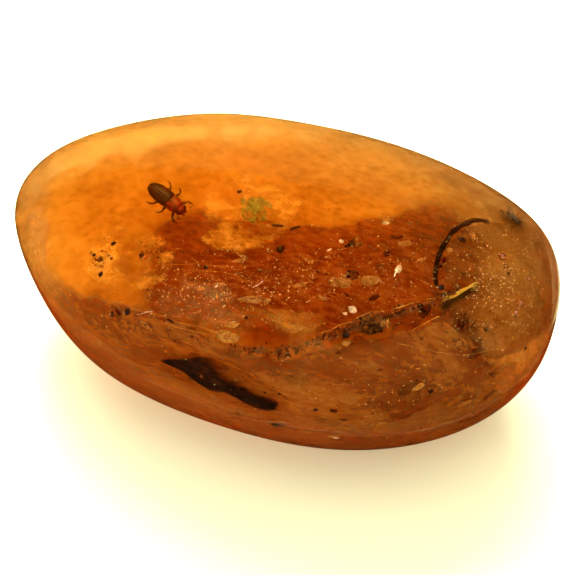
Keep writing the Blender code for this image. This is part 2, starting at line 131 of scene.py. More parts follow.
class Wire:
    """A socket of a material's nodes that can stand in a Python expression."""

    def __init__(self, shade, socket):
        self.shade = shade
        self.socket = socket

    def _apply(self, operation, first, second):
        wires = [v for v in (first, second) if isinstance(v, Wire)]
        vector = any(w.socket.type in ("VECTOR", "RGBA") for w in wires)
        kind = "ShaderNodeVectorMath" if vector else "ShaderNodeMath"
        values = {0: first, 1: second}
        if vector:
            values = {k: v if isinstance(v, (Wire, tuple)) else (v, v, v) for k, v in values.items()}
        return self.shade.add(kind, {"operation": operation}, values)

    def __add__(self, other):
        return self._apply("ADD", self, other)

    def __radd__(self, other):
        return self._apply("ADD", other, self)

    def __sub__(self, other):
        return self._apply("SUBTRACT", self, other)

    def __rsub__(self, other):
        return self._apply("SUBTRACT", other, self)

    def __mul__(self, other):
        return self._apply("MULTIPLY", self, other)

    def __rmul__(self, other):
        return self._apply("MULTIPLY", other, self)

    def least(self, other):
        """The smaller of the two."""
        return self._apply("MINIMUM", self, other)

    def most(self, other):
        """The larger of the two."""
        return self._apply("MAXIMUM", self, other)


class Shade:
    """One material, built from its Principled shader outwards."""

    def __init__(self, name):
        self.material = bpy.data.materials.new(name)
        self.material.use_nodes = True
        self.tree = self.material.node_tree
        self.shader = self.tree.nodes["Principled BSDF"]
        self.output = self.tree.nodes["Material Output"]

    def put(self, socket, value):
        """Links or sets one socket."""
        if isinstance(value, Wire):
            self.tree.links.new(value.socket, socket)
        elif socket.type == "RGBA":
            socket.default_value = (*value, 1.0)
        else:
            socket.default_value = value

    def add(self, kind, settings=None, values=None, out=0):
        """A node of that kind: its settings first, then its sockets; returns one output."""
        node = self.tree.nodes.new(kind)
        for key, value in (settings or {}).items():
            if key == "stops":
                self._stops(node.color_ramp, value)
            else:
                setattr(node, key, value)
        for key, value in (values or {}).items():
            self.put(node.inputs[key], value)
        return Wire(self, node.outputs[out])

    def _stops(self, ramp, stops):
        while len(ramp.elements) < len(stops):
            ramp.elements.new(0.5)
        for element, (place, colour) in zip(ramp.elements, stops):
            element.position = place
            element.color = (*colour, 1.0)

    def set(self, **values):
        """Sets sockets of the Principled shader; underscores stand for spaces."""
        for key, value in values.items():
            self.put(self.shader.inputs[key.replace("_", " ")], value)
        return self

    def place(self):
        """The point on the piece, in millimetres."""
        return self.add("ShaderNodeTexCoord", out="Object") * (1 / MM)

    def part(self, vector, axis):
        """A vector's X, Y or Z."""
        return self.add("ShaderNodeSeparateXYZ", None, {0: vector}, out=axis)

    def cover(self):
        """How much of a sheet's clouding there is, which its corners carry."""
        return self.add("ShaderNodeAttribute", {"attribute_name": "cover"}, out="Fac")

    def noise(self, scale, detail=3.0, distortion=0.0, at=None, roughness=0.5):
        """Soft noise with that many lumps to the millimetre."""
        values = {"Vector": at or self.place(), "Scale": scale, "Detail": detail,
                  "Roughness": roughness, "Distortion": distortion}
        return self.add("ShaderNodeTexNoise", None, values)

    def cells(self, scale, feature="F1", at=None):
        """Distance to the nearest of scattered points."""
        values = {"Vector": at or self.place(), "Scale": scale}
        return self.add("ShaderNodeTexVoronoi", {"feature": feature}, values)

    def span(self, value, low, high, to_low=0.0, to_high=1.0):
        """The value carried from one range to another, and kept inside it."""
        values = {"Value": value, 1: low, 2: high, 3: to_low, 4: to_high}
        return self.add("ShaderNodeMapRange", {"interpolation_type": "SMOOTHSTEP"}, values)

    def ramp(self, value, *stops):
        """A colour ramp."""
        return self.add("ShaderNodeValToRGB", {"stops": stops}, {0: value})

    def mix(self, factor, first, second):
        """One colour turning into another."""
        values = {0: factor, 6: first, 7: second}
        return self.add("ShaderNodeMix", {"data_type": "RGBA"}, values, out=2)

    def bump(self, height, strength, depth):
        """Raised relief of that depth in millimetres."""
        values = {"Strength": strength, "Distance": depth * MM, "Height": height}
        self.put(self.shader.inputs["Normal"], self.add("ShaderNodeBump", None, values))
        return self

    def sheer(self, amount, colour, lit_through):
        """Shows the piece by that amount, and lets light glow through it; returns the material."""
        glow = self.add("ShaderNodeBsdfTranslucent", None, {"Color": colour})
        body = self.add("ShaderNodeMixShader", None, {0: lit_through, 2: glow})
        self.tree.links.new(self.shader.outputs[0], body.socket.node.inputs[1])
        clear = self.add("ShaderNodeBsdfTransparent")
        whole = self.add("ShaderNodeMixShader", None, {0: amount, 1: clear, 2: body})
        self.tree.links.new(whole.socket, self.output.inputs["Surface"])
        return self.material

    def absorb(self, colour, density):
        """Fills the piece with a plain absorption."""
        node = self.tree.nodes.new("ShaderNodeVolumeAbsorption")
        node.inputs["Color"].default_value = (*colour, 1.0)
        node.inputs["Density"].default_value = density
        self.tree.links.new(node.outputs[0], self.output.inputs["Volume"])
        return self


def pebble_surface(direction):
    """The surface point for a direction of the unit sphere, in millimetres, and the way out there."""
    x, y, z = direction
    plan = (abs(x) ** PLAN_ROUNDNESS + abs(y) ** PLAN_ROUNDNESS) ** (1 / PLAN_ROUNDNESS)
    reach = (plan ** PROFILE_ROUNDNESS + abs(z) ** PROFILE_ROUNDNESS) ** (-1 / PROFILE_ROUNDNESS)
    x, y, z = x * reach, y * reach, z * reach
    height = CROWN_HEIGHT if z > 0 else BELLY_DEPTH
    point = Vector((
        HALF_LENGTH * x,
        HALF_WIDTH * y * (1 + WIDTH_TAPER * x) + SPINE_BEND * (x * x - 0.5),
        height * z * (1 + HEIGHT_TAPER * x),
    ))
    outward = Vector((x / HALF_LENGTH, y / HALF_WIDTH, z / height)).normalized()
    rise = -SKIN
    for centre, lift, spread in GRINDING:
        away = (point - Vector(centre)).length / spread
        rise += lift * math.exp(-away * away)
    return point + outward * rise, outward


def pebble_skin(subdivisions):
    """The pebble's skin in millimetres, as a new bmesh."""
    bm = bmesh.new()
    bmesh.ops.create_icosphere(bm, subdivisions=subdivisions, radius=1.0)
    for v in bm.verts:
        v.co = pebble_surface(v.co)[0]
    return bm


def parting(y):
    """Height of the parting plane at that y."""
    return PARTING_HEIGHT + math.tan(PARTING_TILT) * y


def towards_camera(settings):
    """The way from the stone to the camera."""
    a, e = settings.azimuth, settings.elevation
    return Vector((math.sin(a) * math.cos(e), -math.cos(a) * math.cos(e), math.sin(e)))


class Window:
    """The camera's look into the stone: turns a pixel of the photograph into a place in the resin."""

    def __init__(self, settings, ior):
        self.back = towards_camera(settings)
        self.right = Vector((math.cos(settings.azimuth), math.sin(settings.azimuth), 0.0))
        self.up = self.back.cross(self.right)
        self.eye = self.back * settings.distance / MM
        self.reach = PICTURE * settings.lens / SENSOR
        self.ior = ior
        bm = pebble_skin(SIGHT_FINENESS)
        self.skin = BVHTree.FromBMesh(bm)
        bm.free()

    def enter(self, pixel):
        """Where a pixel's line of sight meets the skin, the way out there and the way on inside."""
        across = (pixel[0] - GIRDLE_PIXEL[0]) / self.reach
        down = (pixel[1] - GIRDLE_PIXEL[1]) / self.reach
        sight = (self.right * across - self.up * down - self.back).normalized()
        point, out, _, _ = self.skin.ray_cast(self.eye, sight)
        if point is None:
            raise ValueError(f"pixel {pixel} misses the stone")
        cosine = -sight.dot(out)
        bend = 1 / self.ior
        straight = math.sqrt(1 - bend * bend * (1 - cosine * cosine))
        inside = bend * sight + (bend * cosine - straight) * out
        return point, out, inside.normalized()

    def seen(self, pixel, depth):
        """The place that the pixel shows at that many millimetres inside the skin."""
        point, _, inside = self.enter(pixel)
        return point + inside * depth

    def maybe(self, pixel, depth):
        """The place that the pixel shows, or None where its line of sight misses the stone."""
        try:
            return self.seen(pixel, depth)
        except ValueError:
            return None

    def laid(self, patches, depth):
        """Patches with the places that their pixels show."""
        return [(self.seen((x, y), depth), radius, strength) for x, y, radius, strength in patches]

    def route(self, pixels, depth, steps):
        """A smooth path through the places that the pixels show."""
        return rounded([self.seen(pixel, depth) for pixel in pixels], steps)

    def flat(self, place):
        """The place as the camera's plane has it, in millimetres to the right and up."""
        return place.dot(self.right), place.dot(self.up)

    def plane(self, pixel):
        """Where the pixel lies in the camera's plane through the girdle centre, in millimetres."""
        scale = self.back.dot(self.eye) / self.reach
        return (pixel[0] - GIRDLE_PIXEL[0]) * scale, (GIRDLE_PIXEL[1] - pixel[1]) * scale

    def faced(self, pixel, depth, turn=0.0, tip=0.0):
        """A frame there: Z out through the skin, X to the picture's right, turned in degrees."""
        point, out, inside = self.enter(pixel)
        side = (self.right - self.right.dot(out) * out).normalized()
        basis = Matrix((side, out.cross(side), out)).transposed().to_4x4()
        tipped = Matrix.Rotation(math.radians(tip), 4, "X")
        lean = tipped @ Matrix.Rotation(math.radians(turn), 4, "Z")
        return Matrix.Translation(point + inside * depth) @ basis @ lean


def to_object(name, bm, smooth=True):
    """A scene object of the bmesh, which is freed."""
    mesh = bpy.data.meshes.new(name)
    bm.to_mesh(mesh)
    bm.free()
    if smooth:
        mesh.shade_smooth()
    thing = bpy.data.objects.new(name, mesh)
    bpy.context.scene.collection.objects.link(thing)
    return thing


def settle(bm):
    """Takes a mesh from millimetres round the girdle centre to metres in the frame's place."""
    girdle = Vector(bpy.context.scene["girdle"])
    for v in bm.verts:
        v.co = v.co * MM + girdle


def dress(thing, materials, replaces=()):
    """Gives a piece its materials, its body and the solids that it stands for."""
    for material in materials:
        thing.data.materials.append(material)
    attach(thing, "root")
    if replaces:
        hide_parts(*replaces)


def pebble_mesh():
    """The pebble with its flat spot, and its girdle centre, in metres in the frame's place."""
    bm = pebble_skin(PEBBLE_FINENESS)
    low, high = [[pick(v.co[i] for v in bm.verts) for i in range(3)] for pick in (min, max)]
    rest = low[2] + FLAT_DEPTH
    girdle = Vector((-(low[0] + high[0]) / 2, -(low[1] + high[1]) / 2, -rest))
    for v in bm.verts:
        v.co.z = max(v.co.z, rest)
        v.co = (v.co + girdle) * MM
    return bm, girdle * MM


def clear_shade(name, ior):
    """A clear finish that bends light by that much."""
    return Shade(name).set(Base_Color=(1, 1, 1), Roughness=0.0, IOR=ior, Transmission_Weight=1.0)


def resin_material(settings):
    """Clear polished copal with fine rubbing marks."""
    shade = clear_shade("polished copal", settings.ior)
    shade.absorb(settings.colour, settings.density)
    rubbed = shade.noise(2.5, 3.0, 0.0, shade.place() * (0.25, 1.6, 1.6))
    return shade.bump(rubbed, 0.12, 0.01).material


class COPAL_OT_resin(bpy.types.Operator):
    """Makes the clear pebble that stands for the two halves."""

    bl_idname = "copal.resin"
    bl_label = "Resin pebble"

    def execute(self, context):
        bm, girdle = pebble_mesh()
        context.scene["girdle"] = list(girdle)
        resin = resin_material(context.scene.copal_resin)
        dress(to_object("copal", bm), [resin], ("copal_upper", "copal_lower"))
        return {"FINISHED"}


def rounded(points, steps):
    """A smooth path through the points, with that many steps between each two."""
    path = [Vector(p) for p in points]
    ends = [2 * path[0] - path[1], *path, 2 * path[-1] - path[-2]]
    made = []
    for a, b, c, d in zip(ends, ends[1:], ends[2:], ends[3:]):
        for i in range(steps):
            t = i / steps
            made.append(0.5 * (2 * b + (c - a) * t + (2 * a - 5 * b + 4 * c - d) * t ** 2
                               + (3 * b - a - 3 * c + d) * t ** 3))
    return made + [path[-1]]


def tapered(path, thick, loss):
    """Radii for a path: thick at its start, and less by that share at its end."""
    last = len(path) - 1
    return [thick * (1 - loss * i / last) for i in range(last + 1)]


def wobble(place, seed):
    """Smooth chance from -1 to 1 that depends on the place and the seed."""
    return noise.noise(place + Vector((seed * 7.31, seed * 1.73, seed * 3.17)))


def wavering(path, grain, seed, sway):
    """The path with each point moved a little, by no more than the sway each way."""
    return [p + Vector([wobble(p * grain, seed + i) for i in range(3)]) * sway for p in path]


# Outlines of a leg's three parts, hip to toe: how far along each, and the thickness there
LEG_JOINTS = (
    ((0.0, 0.75), (0.25, 1.1), (0.6, 1.15), (0.92, 0.7)),
    ((0.0, 0.6), (0.3, 0.62), (0.75, 0.75), (0.96, 0.5)),
    ((0.0, 0.5), (0.18, 0.36), (0.22, 0.5), (0.4, 0.34), (0.45, 0.48), (0.62, 0.32), (0.68, 0.44),
     (0.9, 0.28), (1.0, 0.12)),
)
FLAKE_CURL = 0.1
# No body is thinner than this, in millimetres from its axis
LEAST_GIRTH = 0.002
# Bristles stand where the skin looks up by more than this
BRISTLES_FROM = -0.2


class Clay:
    """A mesh being shaped, in millimetres from the girdle centre."""

    def __init__(self, place=None):
        self.bm = bmesh.new()
        self.place = place or Matrix.Identity(4)
        self.finish = 0

    def corner(self, point):
        """One corner, given in the clay's own frame."""
        return self.bm.verts.new(self.place @ Vector(point))

    def face(self, corners):
        """One face of the finish that is being used."""
        self.bm.faces.new(corners).material_index = self.finish

    def skin(self, rims):
        """Faces between rims of corners; a rim of one corner closes an end."""
        for first, second in zip(rims, rims[1:]):
            count = max(len(first), len(second))
            for k in range(count):
                j = (k + 1) % count
                corners = [first[k % len(first)], second[k % len(second)], second[j % len(second)],
                           first[j % len(first)]]
                self.face(list(dict.fromkeys(corners)))

    def lump(self, centre, size, knobs, grain, seed, subdivisions):
        """A knobbly rounded lump of those half-sizes."""
        made = bmesh.ops.create_icosphere(self.bm, subdivisions=subdivisions, radius=1.0)["verts"]
        for v in made:
            swell = 1 + knobs * wobble(v.co * grain, seed)
            swell += 0.4 * knobs * wobble(v.co * grain * 3, seed)
            point = Vector((v.co.x * size[0], v.co.y * size[1], v.co.z * size[2])) * swell
            v.co = self.place @ (point + Vector(centre))
        for f in {f for v in made for f in v.link_faces}:
            f.material_index = self.finish

    def eyes(self, x, y, z, size, subdivisions):
        """Two smooth eyes in the second finish, one on each side."""
        self.finish = 1
        for side in (1, -1):
            self.lump((x, side * y, z), size, 0, 1, 0, subdivisions)

    def strand(self, points, radii, sides):
        """A tube along the points; the radii are one for each point."""
        points = [Vector(p) for p in points]
        rims, normal = [], None
        for i, here in enumerate(points):
            ahead = (points[min(i + 1, len(points) - 1)] - points[max(i - 1, 0)]).normalized()
            if normal is None:
                normal = ahead.orthogonal()
            normal = (normal - normal.dot(ahead) * ahead).normalized()
            side = ahead.cross(normal)
            turns = [2 * math.pi * k / sides for k in range(sides)]
            rays = [normal * math.cos(t) + side * math.sin(t) for t in turns]
            rims.append([self.corner(here + ray * radii[i]) for ray in rays])
        self.skin([[self.corner(points[0])], *rims, [self.corner(points[-1])]])

    def body(self, stations, sides, steps, relief=None):
        """A lofted body along X through stations of x, half width, half height and z."""
        sizes = rounded([station[:3] for station in stations], steps)
        levels = rounded([(station[0], station[3], 0) for station in stations], steps)
        rims = []
        for size, level in zip(sizes, levels):
            x, width, height = size.x, max(size.y, LEAST_GIRTH), max(size.z, LEAST_GIRTH)
            rim = []
            for k in range(sides):
                turn = 2 * math.pi * k / sides
                swell = 1 + (relief(x, turn) if relief else 0)
                y, z = math.cos(turn) * width * swell, math.sin(turn) * height * swell
                rim.append(self.corner((x, y, level.y + z)))
            rims.append(rim)
        first, last = [[self.corner((sizes[i].x, 0, levels[i].y))] for i in (0, -1)]
        self.skin([first, *rims, last][::-1])

    def slab(self, rim, thickness, lift=None, relief=0.0, grain=3.0, seed=0.0, wear=0.8):
        """A plate within the rim of x, y points, thinner at its rim; lift bends its middle sheet."""
        # How far out each ring of corners lies, and the share of the thickness there
        shares = ((0, 1), (0.2, 1), (0.4, 1), (0.58, 0.98), (0.74, 0.94), (0.88, wear), (1, 0.35))
        sheets = []
        for side, rows in ((1, shares), (-1, shares[::-1])):
            for share, full in rows:
                ring = []
                for x, y in (rim if share else rim[:1]):
                    at = Vector((x * share, y * share, side * 2.0))
                    rough = relief * wobble(at * grain, seed)
                    rough += 0.5 * relief * wobble(at * grain * 3, seed)
                    z = side * (full * thickness / 2 + rough * full)
                    z += lift(at.x, at.y) if lift else 0
                    ring.append(self.corner((at.x, at.y, z)))
                sheets.append(ring)
        self.skin(sheets)

    def flake(self, length, width, thickness, seed, ragged, sides=22):
        """A thin ragged flake, curled along its length."""
        rim = []
        for k in range(sides):
            turn = 2 * math.pi * k / sides
            ray = Vector((math.cos(turn), math.sin(turn), 0.0))
            reach = 1 + ragged * wobble(ray * 1.8, seed) + 0.4 * ragged * wobble(ray * 5.5, seed)
            rim.append((ray.x * reach * length / 2, ray.y * reach * width / 2))

        def curled(x, y):
            return FLAKE_CURL * (x * x / length - y * y / width)

        self.slab(rim, thickness, curled, thickness / 5, seed=seed)

    def jointed(self, points, thick):
        """A leg through hip, knee, ankle and toe."""
        path, radii = [], []
        joints = [Vector(p) for p in points]
        for a, b, outline in zip(joints, joints[1:], LEG_JOINTS[-(len(joints) - 1):]):
            for share, width in outline:
                path.append(a.lerp(b, share))
                radii.append(width * thick / 2)
        self.strand(path, radii, 7)

    def pair(self, routes, make, *sizes):
        """Legs or feelers on both sides, from the left side's routes."""
        for route in routes:
            for side in (1, -1):
                make([(x, side * y, z) for x, y, z in route], *sizes)

    def beaded(self, points, thick, beads, club=1.0):
        """A feeler of beads that swell to club at its end."""
        path = rounded(points, max(2, 3 * beads // (len(points) - 1)))
        radii = []
        for i in range(len(path)):
            share = i / (len(path) - 1)
            radii.append(thick / 2 * (1 + (club - 1) * share ** 4) * (0.72, 1.0, 0.9)[i % 3])
        self.strand(path, radii, 6)

    def bristles(self, count, length, rand, thick=0.012):
        """Fine hairs that stand out from what is shaped so far."""
        self.bm.normal_update()
        roots = [(v.co.copy(), v.normal.copy()) for v in self.bm.verts]
        up = self.place.to_3x3() @ Vector((0, 0, 1))
        back = self.place.to_3x3() @ Vector((-1, 0, 0))
        roots = [r for r in roots if r[1].dot(up) > BRISTLES_FROM]
        for root, out in rand.sample(roots, min(count, len(roots))):
            lean = (out + back * rand.uniform(0.2, 0.8)).normalized()
            tip = root + lean * length * rand.uniform(0.6, 1.2)
            side = out.orthogonal().normalized() * thick / 2
            other = out.cross(side)
            base = [self.bm.verts.new(root + p) for p in (side, other, -side, -other)]
            peak = self.bm.verts.new(tip)
            for a, b in zip(base, base[1:] + base[:1]):
                self.face((a, b, peak))
            self.face(base[::-1])

    def speck(self, centre, size, rand):
        """One grain of dust with eight faces."""
        reach = [size * rand.uniform(0.5, 1.3) for _ in range(6)]
        turn = Euler([rand.uniform(0, math.pi) for _ in range(3)]).to_matrix()
        rays = ((1, 0, 0), (-1, 0, 0), (0, 1, 0), (0, -1, 0), (0, 0, 1), (0, 0, -1))
        px, nx, py, ny, pz, nz = [self.corner(centre + turn @ Vector(ray) * far)
                                  for ray, far in zip(rays, reach)]
        for a, b in ((px, py), (py, nx), (nx, ny), (ny, px)):
            self.face((a, b, pz))
            self.face((b, a, nz))

    def done(self, name, smooth=True, hollow=False):
        """The shaped mesh as an object in the frame's place; a hollow's faces look inwards."""
        settle(self.bm)
        bmesh.ops.recalc_face_normals(self.bm, faces=self.bm.faces)
        if hollow:
            bmesh.ops.reverse_faces(self.bm, faces=self.bm.faces)
        return to_object(name, self.bm, smooth)


def dice(name):
    """A generator whose draws depend on the name alone."""
    return random.Random(name)


def scattered(rand, centre, spread):
    """A chance pixel near the centre."""
    return rand.gauss(centre[0], spread[0]), rand.gauss(centre[1], spread[1])


def lens_window():
    """The look into the stone, for the settings as they are."""
    scene = bpy.context.scene
    return Window(scene.copal_stage, scene.copal_resin.ior)


def outside(shape, x, y):
    """How far a point of a plane lies outside a closed outline; negative inside it."""
    nearest, inside = 1e9, False
    for (ax, ay), (bx, by) in zip(shape, shape[1:] + shape[:1]):
        ex, ey = bx - ax, by - ay
        share = max(0.0, min(1.0, ((x - ax) * ex + (y - ay) * ey) / (ex * ex + ey * ey)))
        nearest = min(nearest, math.hypot(x - ax - share * ex, y - ay - share * ey))
        if (ay > y) != (by > y) and x < ax + (y - ay) * ex / ey:
            inside = not inside
    return -nearest if inside else nearest


def row(start, end, count, radius, strength):
    """Like patches, evenly along the line between two pixels."""
    (ax, ay), (bx, by) = start, end
    shares = [i / (count - 1) for i in range(count)]
    return tuple((ax + (bx - ax) * s, ay + (by - ay) * s, radius, strength) for s in shares)


# Clouding and painted light are laid by patches: the pixel's x and y, the radius in millimetres and the
# strength.
# The red-brown clouding of the front flank
FLANK_PATCHES = (
    (330, 385, 4.5, 1), (400, 375, 5, 1), (450, 395, 6, 1), (270, 405, 6, 1), (370, 430, 7, 1.1),
    (180, 330, 4.5, 1.1), (120, 310, 5, 1.3), (110, 350, 4.5, 1.2), (200, 385, 4.5, 1),
    (500, 375, 4.5, 0.8), (70, 290, 4, 1.3), (150, 370, 4, 1),
)
# The flank's clouding ends at the old flow's edge: its outline, as pixels
FLANK_OUTLINE = (
    (26, 246), (60, 272), (98, 292), (140, 304), (190, 320), (232, 340), (262, 350), (300, 350),
    (335, 339), (368, 335), (400, 325), (436, 314), (450, 344), (470, 360), (500, 356), (530, 346),
    (560, 316), (580, 400), (500, 470), (340, 480), (180, 440), (60, 380), (0, 300),
)
FLANK_FADE = 0.7
# The dark red band: a bed just under the sealed insects, on the ember bed that covers all
RED_PATCHES = (
    *row((160, 252), (290, 272), 6, 2, 0.8), *row((290, 272), (450, 256), 7, 2.3, 0.9),
    *row((175, 280), (440, 286), 10, 2.3, 0.9), *row((330, 306), (470, 300), 6, 2.4, 0.8),
    *row((210, 300), (300, 306), 4, 2, 0.5), *row((190, 318), (330, 326), 6, 2.4, 0.5),
    *row((80, 300), (150, 312), 3, 2.2, 0.3), *row((385, 240), (480, 225), 4, 2.4, 0.17),
    *row((410, 205), (500, 208), 4, 2.6, 0.12), (165, 230, 1.6, 0.24), (190, 232, 1.6, 0.2),
    (450, 230, 2.2, 0.36), (480, 255, 2.6, 0.6), (120, 262, 1.4, 0.4),
)
# The golden cloud, a bed on the red one
GOLD_PATCHES = (
    (215, 200, 2, 1), (240, 185, 2, 0.9), (265, 195, 1.8, 0.8), (225, 230, 2, 0.9),
    (255, 225, 1.8, 0.9), (205, 245, 1.6, 0.8), (285, 215, 1.6, 0.7), (125, 268, 2.6, 1.2),
    (100, 255, 1.8, 0.8), (150, 280, 1.8, 0.8), (90, 285, 2, 0.7), (310, 200, 1.4, 0.5),
    (400, 190, 1.6, 0.5), (240, 250, 1.8, 0.7), (280, 245, 1.4, 0.6),
)
# Painted amber glints: lighter patches that stand for highlights along the old flow's edge and in the
# flank
PAINTED_GLINT_PATCHES = (
    (225, 335, 1.3, 1.2), (240, 328, 1.1, 1), (290, 325, 1.3, 1), (305, 330, 1, 0.9),
    (330, 320, 1.1, 0.7), (265, 316, 1.1, 0.7), (120, 290, 1.2, 0.6), (210, 330, 1, 0.8),
    (375, 365, 1.8, 0.5), (340, 375, 1.6, 0.4), (450, 395, 1.4, 0.5), (400, 350, 1.2, 0.5),
    (310, 420, 1.2, 0.5), (360, 425, 1.2, 0.5), (150, 310, 1, 0.6),
)
# A painted reflection: brown haze over the flow's edge, at its left bump and under the right end
REFLECTION_HAZE_PATCHES = (
    (195, 305, 2.2, 0.9), (165, 298, 1.8, 0.7), (225, 300, 1.8, 0.6), (300, 352, 1.4, 0.9),
    (255, 350, 1.4, 0.8), (330, 345, 1.2, 0.6), (480, 330, 1.8, 0.7), (500, 345, 1.4, 0.7),
)
# A painted highlight: the golden glow under the far left shoulder
SHOULDER_HIGHLIGHT_PATCHES = (
    (62, 160, 1.6, 0.8), (86, 149, 1.6, 1), (116, 141, 1.6, 1), (150, 135, 1.6, 1),
    (190, 131, 1.5, 0.9), (230, 129, 1.5, 0.8), (270, 129, 1.4, 0.6), (310, 133, 1.4, 0.5),
)
# The lighter crescent outside the right end's inner skin
CRESCENT_PATCHES = (
    (555, 275, 0.9, 1), (554, 300, 1, 1), (549, 328, 1.2, 1), (534, 352, 1.4, 1), (515, 374, 1.5, 1),
    (492, 391, 1.5, 0.9), (547, 250, 0.9, 0.8),
)
# The browner shade over the right end's far shoulder
RIGHT_PATCHES = (
    (455, 180, 1.5, 0.6), (480, 192, 1.5, 0.9), (505, 207, 1.5, 1), (525, 224, 1.5, 1),
    (541, 243, 1.2, 0.8),
)
# A painted orange glow along the low edge
PAINTED_LOW_GLOW_PATCHES = (
    (62, 312, 1.5, 1), *row((84, 336), (160, 392), 5, 1.5, 0.8),
    *row((185, 402), (320, 438), 6, 1.5, 0.9), (548, 335, 1.2, 0.8), (530, 362, 1.2, 0.7),
    (508, 384, 1.2, 0.7),
)
# The browner rim of the left end
RIM_PATCHES = (
    (24, 200, 1.5, 1), (28, 228, 1.5, 1), (36, 254, 1.5, 1), (48, 280, 1.5, 0.9), (33, 182, 1.5, 0.9),
    (48, 162, 1.4, 0.8), (74, 150, 1.4, 0.6), (62, 300, 1.5, 0.7),
)
# Dark dirt along the old flow's edge
DIRT_PATCHES = (
    (232, 352, 0.6, 0.6), (250, 354, 0.6, 0.7), (268, 356, 0.65, 0.8), (285, 355, 0.7, 0.8),
    (302, 351, 0.65, 0.8), (322, 344, 0.6, 0.8), (342, 335, 0.6, 0.9), (358, 329, 0.6, 1),
    (372, 326, 0.7, 1.1), (388, 321, 0.6, 1), (403, 316, 0.55, 0.9), (418, 313, 0.5, 0.9),
    (434, 308, 0.5, 1), (446, 302, 0.6, 1), (459, 315, 0.7, 0.9), (466, 328, 0.8, 1),
    (475, 338, 0.7, 0.9), (482, 322, 0.5, 0.7), (262, 385, 0.9, 0.7), (285, 388, 0.8, 0.6),
    (300, 395, 0.7, 0.6), (150, 352, 0.7, 0.6), (213, 352, 0.5, 0.6), (490, 360, 0.6, 0.6),
    (410, 395, 0.7, 0.6), (440, 400, 0.6, 0.5), (518, 222, 1.1, 1.1), (345, 418, 0.6, 0.5),
)
# Smudges level with the insects
SMUDGE_PATCHES = (
    (218, 186, 0.55, 0.8), (277, 187, 0.55, 0.8), (95, 262, 0.7, 0.9), (107, 248, 0.6, 0.8),
    (88, 272, 0.6, 0.8), (138, 258, 0.5, 0.8), (120, 245, 0.6, 0.6), (180, 222, 0.8, 0.6),
    (410, 218, 0.8, 0.7), (400, 240, 0.6, 0.7), (440, 262, 0.6, 0.8), (365, 255, 0.5, 0.6),
    (352, 278, 0.6, 0.8),
)
# What is sealed near the skin, so that clouding passes behind it: the pixel's x and y, the depth
# and the radius
SEALED = (
    (517, 221, 1.7, 1.1), (277, 425, 1.3, 0.5), (165, 364, 1.5, 0.8), (182, 371, 1.6, 0.9),
    (200, 378, 1.8, 1.2), (218, 385, 1.7, 1.2), (235, 392, 1.7, 1.3), (250, 398, 1.7, 1.2),
    (265, 405, 1.6, 1.1),
)
# The clouding dips over this far round it, and lies this far behind it, in millimetres
SEALED_EDGE = 1.2
DIP_GAP = 0.45
# The right end's inner flow skin, as an outline of pixels
DOME_OUTLINE = (
    (458, 244), (470, 233), (495, 226), (525, 226), (543, 240), (552, 270), (556, 298), (548, 325),
    (522, 350), (497, 360), (470, 352), (456, 330), (450, 300), (450, 266),
)
# It's open over the splinter
DOME_OPENING = row((442, 304), (476, 285), 6, 0.75, 0.8)
DOME_EDGE = 0.35
DOME_DEPTH = 1.8
# The cloudier belt of the rind lies square to this line, which is the camera's line of sight, so it runs
# round the stone's outline as the camera sees it: painted rim light over the rind's own faint clouding
RIM_LIGHT_LINE = Vector((0.26, -0.7, 0.67))
RIM_LIGHT_WIDTH = 0.36
RIM_LIGHT_COVER = 0.8
RIND_COVER = 0.07
# The rind turns from golden to brown between these places along the stone, and from red-brown to
# golden between these heights over the table, in millimetres
RIND_ENDS = (-8.0, 16.0)
RIND_LEVELS = (10.0, 15.5)
# A patch ends at this many radii
PATCH_END = 3.0
# Less cover than this is cut away
SHEET_LEAST = 0.1
BED_LEAST = 0.02
# Subdivisions of a sheet round the stone, and of one with fine edges
SHEET_FINENESS = 6
FINE_SHEET = 7


def trim(name, bm, cover, least, material):
    """Cuts away what covers too little of a sheet of clouding, and dresses the rest."""
    bmesh.ops.delete(bm, geom=[v for v in bm.verts if v[cover] < least], context="VERTS")
    settle(bm)
    dress(to_object(name, bm), [material])


def sheet(window, name, depth, wave, cover_at, material, fineness):
    """A ragged sheet that follows the skin at that depth, kept where it covers enough."""
    bm = bmesh.new()
    bmesh.ops.create_icosphere(bm, subdivisions=fineness, radius=1.0)
    cover = bm.verts.layers.float.new("cover")
    sealed = [(window.seen((x, y), depth), below, radius) for x, y, below, radius in SEALED]
    for v in bm.verts:
        point, out = pebble_surface(v.co)
        sway = noise.noise(point * 0.17) + 0.4 * noise.noise(point * 0.6)
        level = depth + wave * sway
        v.co = point - out * level
        amount = min(cover_at(v.co, out), 1.0)
        for centre, below, radius in sealed:
            near = 1 - ((v.co - centre).length - radius) / SEALED_EDGE
            if near > 0 and below + DIP_GAP > level:
                near = min(near, 1.0) ** 2 * (3 - 2 * min(near, 1.0))
                v.co = v.co.lerp(point - out * (below + DIP_GAP), near)
        v[cover] = amount
    trim(name, bm, cover, SHEET_LEAST, material)


def patchwork(place, centres, ragged=1.0):
    """How much the patches cover a place, with edges as ragged as asked for."""
    amount = 0.0
    for centre, radius, strength in centres:
        away = (place - centre).length / radius
        if away < PATCH_END:
            fade = 1 - (away / PATCH_END) ** 2
            sway = 0.55 * wobble(place * 0.45, radius) + 0.25 * wobble(place * 1.3, radius)
            away *= 1 + ragged * sway
            amount += strength * fade * math.exp(-away * away)
    return amount


